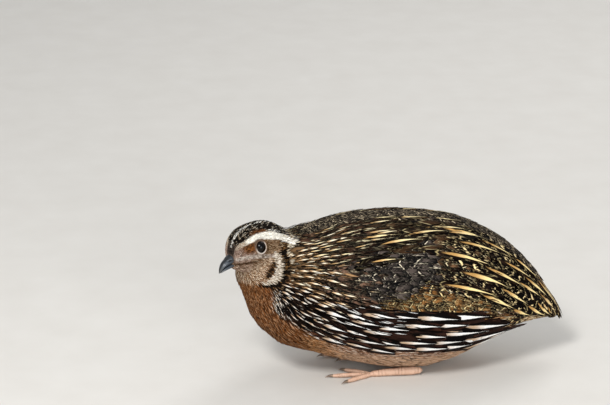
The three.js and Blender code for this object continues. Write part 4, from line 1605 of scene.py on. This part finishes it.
@dataclass
class Coat:
    """The whole coat: small feathers all over, and rows of larger ones on back, wings, flanks and tail.

    Lengths, gaps and places are millimetres. Spacings and spreads are shares of a feather's length.
    """

    feathering: Feathering
    tries: int = 90000
    head_tries: int = 360000
    head_radius: float = 21.0
    eye_clear: float = 1.3
    lid_reach: float = 2.4
    lid_least: float = 0.5
    tail_clear: float = 82.5
    tail_reach: float = 88.0
    tail_share: float = 0.8
    small: float = 4.2
    small_spacing: float = 0.17
    small_gap: float = 0.36
    spacing: float = 0.155
    hidden_spacing: float = 0.09
    hidden_flat: float = 0.75
    neck_end: float = -34.0
    length_spread: float = 0.1
    bushy: float = 1.15
    down_lift: float = 0.08
    down_sway: float = 8.0
    covered_girth: tuple[float, float] = (0.66, 0.6)
    covered_front: tuple[float, float] = (-60.0, -54.0)
    covered_rear: tuple[float, float] = (62.0, 50.0)
    wisp_gap: float = 2.1
    wisp_dark: float = 0.5
    wisp_pale: float = 0.88
    quill_pairs: int = 6

    def build(self) -> list[bpy.types.Object]:
        """Makes every piece of the coat."""
        return [*self.under_coat(), *self.tracts(), self.tail(), self.wisps()]

    def under_coat(self) -> list[bpy.types.Object]:
        """The small feathers, parted into pieces where the body is parted."""
        work = self.feathering
        dice = work.dice
        body = work.ground.scatter(self.tries, dice)
        head = work.ground.scatter(self.head_tries, dice)
        head = head[np.linalg.norm(HEAD.inward(head), axis=1) < self.head_radius]
        body = body[np.linalg.norm(HEAD.inward(body), axis=1) >= self.head_radius]
        spots = np.concatenate([body, head])
        spots = spots[dice.permutation(len(spots))]
        local = HEAD.inward(spots)
        reach = EYE.nearer_reach(local)
        free = (reach > self.eye_clear) & ~Bill().holds(local) & (spots[:, 1] < self.tail_clear)
        spots, reach = spots[free], reach[free]
        lengths = np.minimum(work.comb.length(spots), (self.tail_reach - spots[:, 1]) * self.tail_share)
        lengths = np.minimum(lengths, np.maximum((reach - 1) * self.lid_reach, self.lid_least))
        covered = self.covered(spots)
        close = np.maximum(lengths * self.small_spacing, self.small_gap)
        wide = lengths * (self.spacing + self.hidden_spacing * covered)
        kept = work.thin_out(spots, np.where(lengths < self.small, close, wide))
        spots, lengths, covered = spots[kept], lengths[kept], covered[kept]
        small = lengths < self.small
        low = spots[:, 2] < np.interp(spots[:, 1], CHART.backs, CHART.core)
        front = spots[:, 1] < self.neck_end
        finish = PlumageFinish
        parts = (
            (small, Down("coat_head", Cut.TUFT, 0.27, 0.16, finish("head_plumage", 0.25, 0.1, 0.66),
                         "plumage_head")),
            (~small & front, Down("coat_neck", Cut.LOCK, 0.3, 0.1, finish("breast_plumage"),
                                  "plumage_breast")),
            (~small & ~front & ~low, Down("coat_back", Cut.LOCK, 0.34, 0.09, finish("back_plumage"),
                                          "plumage_back")),
            (~small & ~front & low, Down("coat_belly", Cut.LOCK, 0.24, 0.09, finish("belly_plumage"),
                                         "plumage_breast")),
        )
        made = []
        for chosen, down in parts:
            length = lengths[chosen] * dice.normal(1, self.length_spread, chosen.sum())
            rise = down.rise * (1 - self.hidden_flat * covered[chosen])
            spray = work.lay(down.cut, spots[chosen], length, length * down.broad / 2 * self.bushy,
                             lift=self.down_lift, rise=rise, sway=self.down_sway,
                             on_head=down.name == "coat_head")
            made.append(feather_mesh(down.name, [spray], down.finish, dice))
        return made

    def covered(self, spots: np.ndarray) -> np.ndarray:
        """How much the larger feathers hide each spot, from 0 to 1."""
        girth, back = CHART.girth(spots), spots[:, 1]
        between = ramp(back, *self.covered_front) * ramp(back, *self.covered_rear)
        return ramp(girth, *self.covered_girth) * between

    def tracts(self) -> list[bpy.types.Object]:
        """The rows of larger feathers."""
        work = self.feathering
        made = []
        for name, tracts in TRACTS.items():
            sprays = [tract.spray(work, side) for tract in tracts for side in SIDES.values()]
            look = PlumageFinish(f"{name}_plumage", roughness=0.6, gloss=0.03, root_shade=0.5)
            made.append(feather_mesh(f"coat_{name}", sprays, look, work.dice))
        return made

    def wisps(self) -> bpy.types.Object:
        """Fine loose barbs over the larger feathers, in the colours of what they lie on."""
        work = self.feathering
        dice = work.dice
        spots = work.ground.scatter(self.tries // 3, dice)
        spots = spots[self.covered(spots) > 0.5]
        spots = spots[work.thin_out(spots, np.full(len(spots), self.wisp_gap))]
        count = len(spots)
        lengths = work.comb.length(spots) * dice.uniform(0.5, 0.9, count)
        half_widths = dice.uniform(0.25, 0.45, count)
        spray = work.lay(Cut.LOCK, spots, lengths, half_widths, lift=1.0, rise=0.1, sway=11)
        worn, pick = spray.dress, dice.random((count, 1))
        paler = np.where(pick > self.wisp_pale, worn.mark * 0.8, worn.ground)
        worn.ground = np.where(pick < self.wisp_dark, worn.dark, paler)
        worn.form *= 0
        look = PlumageFinish("wisp_plumage", barbs=0.2, relief=0.1)
        return feather_mesh("coat_wisps", [spray], look, dice)

    def tail(self) -> bpy.types.Object:
        """The short tail: quills that fan out from under the rump."""
        work, pairs = self.feathering, self.quill_pairs
        spread = np.repeat((np.arange(pairs) + 0.25) / pairs, 2)
        sides = np.tile((1.0, -1.0), pairs)
        roots = work.ground.cast(*CHART.outside(68 - 3 * spread, 0.2 * spread, sides))
        spray = work.lay(Cut.QUILL, roots, 38 - 4 * spread, np.full(len(roots), 2.6), lift=0.9, rise=0.02,
                         sway=1, keep=0.4, wear=Pattern.TAIL)
        return feather_mesh("coat_tail", [spray], PlumageFinish("tail_plumage"), work.dice)


# Eyes, bill and legs

@dataclass
class Eyes:
    """Two dark eyeballs, each with a cornea that stands a little out of it."""

    opening: EyeOpening = EYE
    cornea: float = 0.06
    cornea_reach: float = 0.85

    def build(self) -> None:
        """Makes both eyes."""
        finish = EyeFinish().make()
        for title, side in SIDES.items():
            bm = bmesh.new()
            bmesh.ops.create_uvsphere(bm, u_segments=48, v_segments=32, radius=1)
            sphere = np.array([vert.co for vert in bm.verts])
            from_axis = np.arccos(np.clip(sphere[:, 2], -1, 1))
            bulge = 1 + self.cornea * ramp(from_axis, self.cornea_reach, 0.0)
            middle, (look, back, up) = self.opening.axes(side)
            local = middle + (sphere * (self.opening.radius * bulge)[:, None]) @ np.array((back, up, look))
            for vert, spot in zip(bm.verts, HEAD.outward(local) * MM):
                vert.co = spot
            bmesh.ops.recalc_face_normals(bm, faces=bm.faces)
            mesh = bpy.data.meshes.new(f"eyeball_{title}")
            bm.to_mesh(mesh)
            bm.free()
            mesh.polygons.foreach_set("use_smooth", np.ones(len(mesh.polygons), bool))
            turn = np.arctan2(sphere[:, 1], sphere[:, 0]) / math.pi
            add_attributes(mesh, {}, {"gaze": np.stack([from_axis, np.abs(turn), turn * 0], 1)})
            piece = in_scene(bpy.data.objects.new(f"eyeball_{title}", mesh))
            mesh.materials.append(finish)
            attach(piece, "root")
            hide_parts(f"eye_{title}")


@dataclass
class Bill:
    """The short arched bill: an upper half with covered nostrils over a lower half."""

    length: float = 10.7
    at: tuple[float, float, float] = (0, -13.8, -3.3)
    rings: int = 52
    corners: int = 44
    feathered: float = 0.2
    nostril: tuple[float, float] = (-3.9, 2.3)
    slit_size: tuple[float, float] = (1.3, 0.42)
    slit_depth: float = 0.6
    hood_size: tuple[float, float] = (2.0, 0.9)
    hood_height: float = 0.28
    # share of the length from the face, height of the upper and of the lower edge, half the width
    upper: Sections = ((-0.3, 4.3, 0.0, 1.8), (0.0, 4.6, 0.0, 2.3), (0.18, 4.4, 0.0, 2.5),
                       (0.36, 3.8, 0.0, 2.45), (0.7, 2.2, -0.25, 1.85), (0.9, 0.3, -1.3, 1.05),
                       (1.0, -1.7, -2.35, 0.3))
    lower: Sections = ((-0.3, -0.2, -1.8, 1.3), (0.0, -0.15, -2.1, 1.85), (0.3, -0.15, -2.15, 2.1),
                       (0.62, -0.35, -2.1, 1.7), (0.84, -1.2, -2.25, 1.05), (0.93, -1.9, -2.4, 0.28))

    def build(self) -> None:
        """Makes both halves."""
        finish = HornFinish("bill_horn", "232528", "3d4349", "4b4c4b", 0.28).make()
        for title, sections in (("upper", self.upper), ("lower", self.lower)):
            piece = self.half(f"bill_horn_{title}", sections, title == "upper")
            piece.data.materials.append(finish)
            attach(piece, "root")
            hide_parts(f"bill_{title}")

    def holds(self, local: np.ndarray) -> np.ndarray:
        """Which points of the head's own frame lie in the horn, past the feathers that grow at its edge."""
        x, y, z = (local - np.array(self.at)).T
        inside = np.zeros(len(local), bool)
        for sections in (self.upper, self.lower):
            share, top, bottom, half = np.array(sections).T
            reach = -y / self.length
            tops, bottoms, halves = (np.interp(reach, share, sizes) for sizes in (top, bottom, half))
            talls = (tops - bottoms) / 2
            tall_left = (talls - self.feathered).clip(0.05)
            gap = np.hypot(x / (halves - self.feathered), (z - tops + talls) / tall_left)
            inside |= (gap < 1) & (reach > 0.02)
        return inside

    def half(self, name: str, sections: Sections, ridged: bool) -> bpy.types.Object:
        """One half of the bill, bent from a bar.

        Args:
            name: the piece's name.
            sections: its cross-sections from the face to the tip.
            ridged: whether its top comes to a ridge and has nostrils.

        Returns:
            The piece.
        """
        shares = tuple(np.linspace(0, 1, self.rings))
        bar = Prototype.cut(self.corners, shares)
        eased = np.sin(np.array(shares) * math.pi / 2) ** 0.9
        place = smooth_line(np.array(sections), eased)
        reach, top, bottom, half = place[bar.ring].T
        middle = (top + bottom) / 2
        tall = (top - bottom) / 2
        crest = np.where(bar.y > 0, np.abs(bar.y) ** (1.15 if ridged else 0.8), np.abs(bar.y) ** 0.8)
        x = half * np.sign(bar.x) * np.abs(bar.x) ** 0.9
        z = middle + np.sign(bar.y) * crest * tall
        points = np.stack([x, -reach * self.length, z], 1)
        hollow = reach * 0
        if ridged:
            back, up = points[:, 1] - self.nostril[0], points[:, 2] - self.nostril[1]
            slit = np.hypot(back / self.slit_size[0], (up + back * 0.15) / self.slit_size[1])
            hood = np.hypot((back - 0.3) / self.hood_size[0], (up - 0.75) / self.hood_size[1])
            beside = np.abs(points[:, 0]) > 0.8
            # the slit's mask sinks the nostril and also carries its painted shade to the horn
            hollow = ramp(slit, 1.3, 0.7) * beside
            proud = self.hood_height * ramp(hood, 1.1, 0.2) * beside
            points[:, 0] += np.sign(points[:, 0]) * (proud - self.slit_depth * hollow)
        points = HEAD.outward(points + np.array(self.at))
        # the third number is the nostril's painted shade
        grain = np.stack([np.clip(reach, 0, 1), np.abs(bar.x), hollow], 1)
        return joined_mesh(name, points, bar.triangles, vectors={"grain": grain})


@dataclass
class Legs:
    """Scaly shanks and toes pressed to the floor, with horn claws."""

    foot_at: tuple[float, float] = (15.5, -12.36)
    voxel: float = 0.4
    grow: float = 0.17
    shrink: float = 0.12
    scute: float = 1.25
    scute_rise: float = 0.16
    top_side: tuple[float, float] = (0.9, 1.7)
    claw_height: float = 1.15
    claw_overlap: float = 0.9
    claw_length: float = 4.0
    hind_claw_length: float = 2.4
    claw_radius: float = 0.85
    claw_rings: int = 12

    def build(self) -> None:
        """Makes both legs and their claws."""
        scales = ScaleFinish().make()
        horn = HornFinish("claw_horn", "8a7360", "6d5a4b", "a8937c", 0.4).make()
        for title, side in SIDES.items():
            mesh = remeshed(merged_copy((f"foot_{title}", f"shank_{title}"), self.grow), self.voxel, 2)
            points = places(mesh)
            scute, top = self.pattern(points, side)
            lift = (np.sqrt(np.clip(scute, 0, 1)) - 0.5) * self.scute_rise * top
            moved = points + vertex_normals(mesh) * (lift - self.shrink)[:, None]
            moved[:, 2] = np.maximum(moved[:, 2], 0.0)
            move_vertices(mesh, moved)
            mesh.name = f"leg_{title}"
            piece = in_scene(bpy.data.objects.new(f"leg_{title}", mesh))
            add_attributes(mesh, {}, {"scutes": np.stack([scute, top, top * 0], 1)})
            mesh.materials.append(scales)
            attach(piece, "root")
            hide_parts(f"foot_{title}", f"shank_{title}")
            for toe in TOES:
                self.claw(title, toe, horn)

    def pattern(self, points: np.ndarray, side: int) -> tuple[np.ndarray, np.ndarray]:
        """The leg's scutes.

        Args:
            points: the leg's points.
            side: 1 for left and -1 for right.

        Returns:
            How far each point is from the seam between two scutes, and how much it is on the top side.
        """
        ball = np.array((self.foot_at[0] * side, self.foot_at[1]))
        flat = points[:, :2] - ball
        best, along = np.full(len(points), 99.0), np.zeros(len(points))
        for angle, length in TOES.values():
            turn = math.radians(angle)
            way = np.array((math.sin(turn) * side, -math.cos(turn)))
            reach = np.clip(flat @ way, 0, length)
            gap = np.linalg.norm(flat - reach[:, None] * way, axis=1)
            along = np.where(gap < best, flat @ way, along)
            best = np.minimum(best, gap)
        shank = flat[:, 1]
        on_shank = (shank > 2) & (best > 1.0)
        along = np.where(on_shank, shank * 0.75, along)
        phase = np.abs((along / self.scute) % 1 - 0.5) * 2
        return 1 - phase, ramp(points[:, 2], *self.top_side)

    def claw(self, title: str, toe: str, horn: bpy.types.Material) -> None:
        """One claw, a curved cone.

        Args:
            title: the side's name.
            toe: the toe's name.
            horn: the claw's material.
        """
        angle, length = TOES[toe]
        turn = math.radians(angle)
        side = SIDES[title]
        way, up = np.array((math.sin(turn) * side, -math.cos(turn), 0)), np.array((0, 0, 1))
        root = np.array((self.foot_at[0] * side, self.foot_at[1], self.claw_height))
        root = root + way * (length - self.claw_overlap)
        reach = self.claw_length if toe != "hind" else self.hind_claw_length
        tip = root + way * reach * 0.97
        share = np.linspace(0, 1, self.claw_rings)
        line = smooth_line(np.array((root, (root + tip) / 2 + (0, 0, 0.12), tip + (0, 0, -0.75))), share)
        bar = Prototype.cut(self.claw_rings, tuple(share))
        radius = self.claw_radius * (1 - share) ** 0.6 * (1 - 0.35 * share) + 0.05
        across = np.cross(way, up)
        spread = across * bar.x[:, None] * 0.8 + up * bar.y[:, None]
        points = line[bar.ring] + spread * radius[bar.ring][:, None]
        points[:, 2] = np.maximum(points[:, 2], 0.02)
        grain = np.stack([share[bar.ring], np.abs(bar.x), bar.x * 0], 1)
        piece = joined_mesh(f"claw_horn_{title}_{toe}", points, bar.triangles, vectors={"grain": grain})
        piece.data.materials.append(horn)
        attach(piece, "root")
        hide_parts(f"claw_{title}_{toe}")


# The studio

@dataclass(frozen=True)
class Studio:
    """A pale floor, soft light and the camera, which looks at the bird's left side from a little above."""

    azimuth: float = 81.0
    elevation: float = 18.5
    field: float = 13.5
    distance: float = 1.3
    aim: tuple[float, float, float] = (0.0, 0.64, 40.0)
    aim_pixel: tuple[float, float] = (392.0, 290.0)
    picture: tuple[int, int] = (610, 405)
    sensor: float = 36.0
    # each light's name, place and size in metres and power in watts
    lights: tuple = (("key", (0.85, -0.5, 0.95), 0.3, 13), ("fill", (1.2, 0.3, 0.3), 0.6, 8),
                     ("rim", (-0.7, 0.5, 0.9), 0.6, 4))
    sky: tuple[float, float, float, float] = (0.95, 0.97, 1.0, 1.0)
    sky_strength: float = 0.5

    def build(self) -> None:
        """Makes the floor, the lights and the camera."""
        bm = bmesh.new()
        bmesh.ops.create_grid(bm, x_segments=1, y_segments=1, size=6)
        mesh = bpy.data.meshes.new("floor")
        bm.to_mesh(mesh)
        bm.free()
        floor = in_scene(bpy.data.objects.new("floor", mesh))
        mesh.materials.append(FloorFinish().make())
        for name, place, size, power in self.lights:
            self.light(name, place, size, power)
        world = bpy.data.worlds.new("studio")
        bpy.context.scene.world = world
        world.use_nodes = True
        background = world.node_tree.nodes["Background"]
        background.inputs["Color"].default_value = self.sky
        background.inputs["Strength"].default_value = self.sky_strength
        bpy.context.scene.view_settings.view_transform = "Standard"
        self.camera()

    def light(self, name: str, place: tuple[float, float, float], size: float, power: float) -> None:
        """One soft square light that faces the bird."""
        lamp = bpy.data.lights.new(name, "AREA")
        lamp.size = size
        lamp.energy = power
        holder = in_scene(bpy.data.objects.new(name, lamp))
        holder.location = place
        holder.rotation_euler = (Vector((0, 0, 0.04)) - Vector(place)).to_track_quat("-Z", "Y").to_euler()

    def camera(self) -> None:
        """The camera at the photograph's angle, with the bird where the photograph has it."""
        turn, tilt = math.radians(self.azimuth), math.radians(self.elevation)
        ahead = Vector((-math.sin(turn) * math.cos(tilt), math.cos(turn) * math.cos(tilt), -math.sin(tilt)))
        right = Vector((math.cos(turn), math.sin(turn), 0))
        up = right.cross(ahead)
        width, height = self.picture
        focal = width / 2 / math.tan(math.radians(self.field / 2))
        aside, above = (self.aim_pixel[0] - width / 2) / focal, (height / 2 - self.aim_pixel[1]) / focal
        ray = ahead + right * aside + up * above
        lens = bpy.data.cameras.new("camera")
        lens.sensor_width = self.sensor
        lens.lens = self.sensor * focal / width
        lens.clip_start = 0.01
        holder = in_scene(bpy.data.objects.new("camera", lens))
        holder.location = Vector(self.aim) * MM - ray * self.distance
        holder.rotation_euler = ahead.to_track_quat("-Z", "Y").to_euler()
        bpy.context.scene.camera = holder


def main() -> None:
    """Builds the studio and the bird, part by part."""
    logging.basicConfig(level=logging.INFO, format="%(message)s")
    Studio().build()
    LOG.info("studio ready")
    skin = Skin()
    skin.build()
    LOG.info("skin: %d faces", len(skin.piece.data.polygons))
    Eyes().build()
    Bill().build()
    Legs().build()
    LOG.info("eyes, bill and legs ready")
    feathering = Feathering(Ground(skin.piece), Comb(), Markings(), np.random.default_rng(11))
    Coat(feathering).build()


if __name__ == "__main__":
    main()
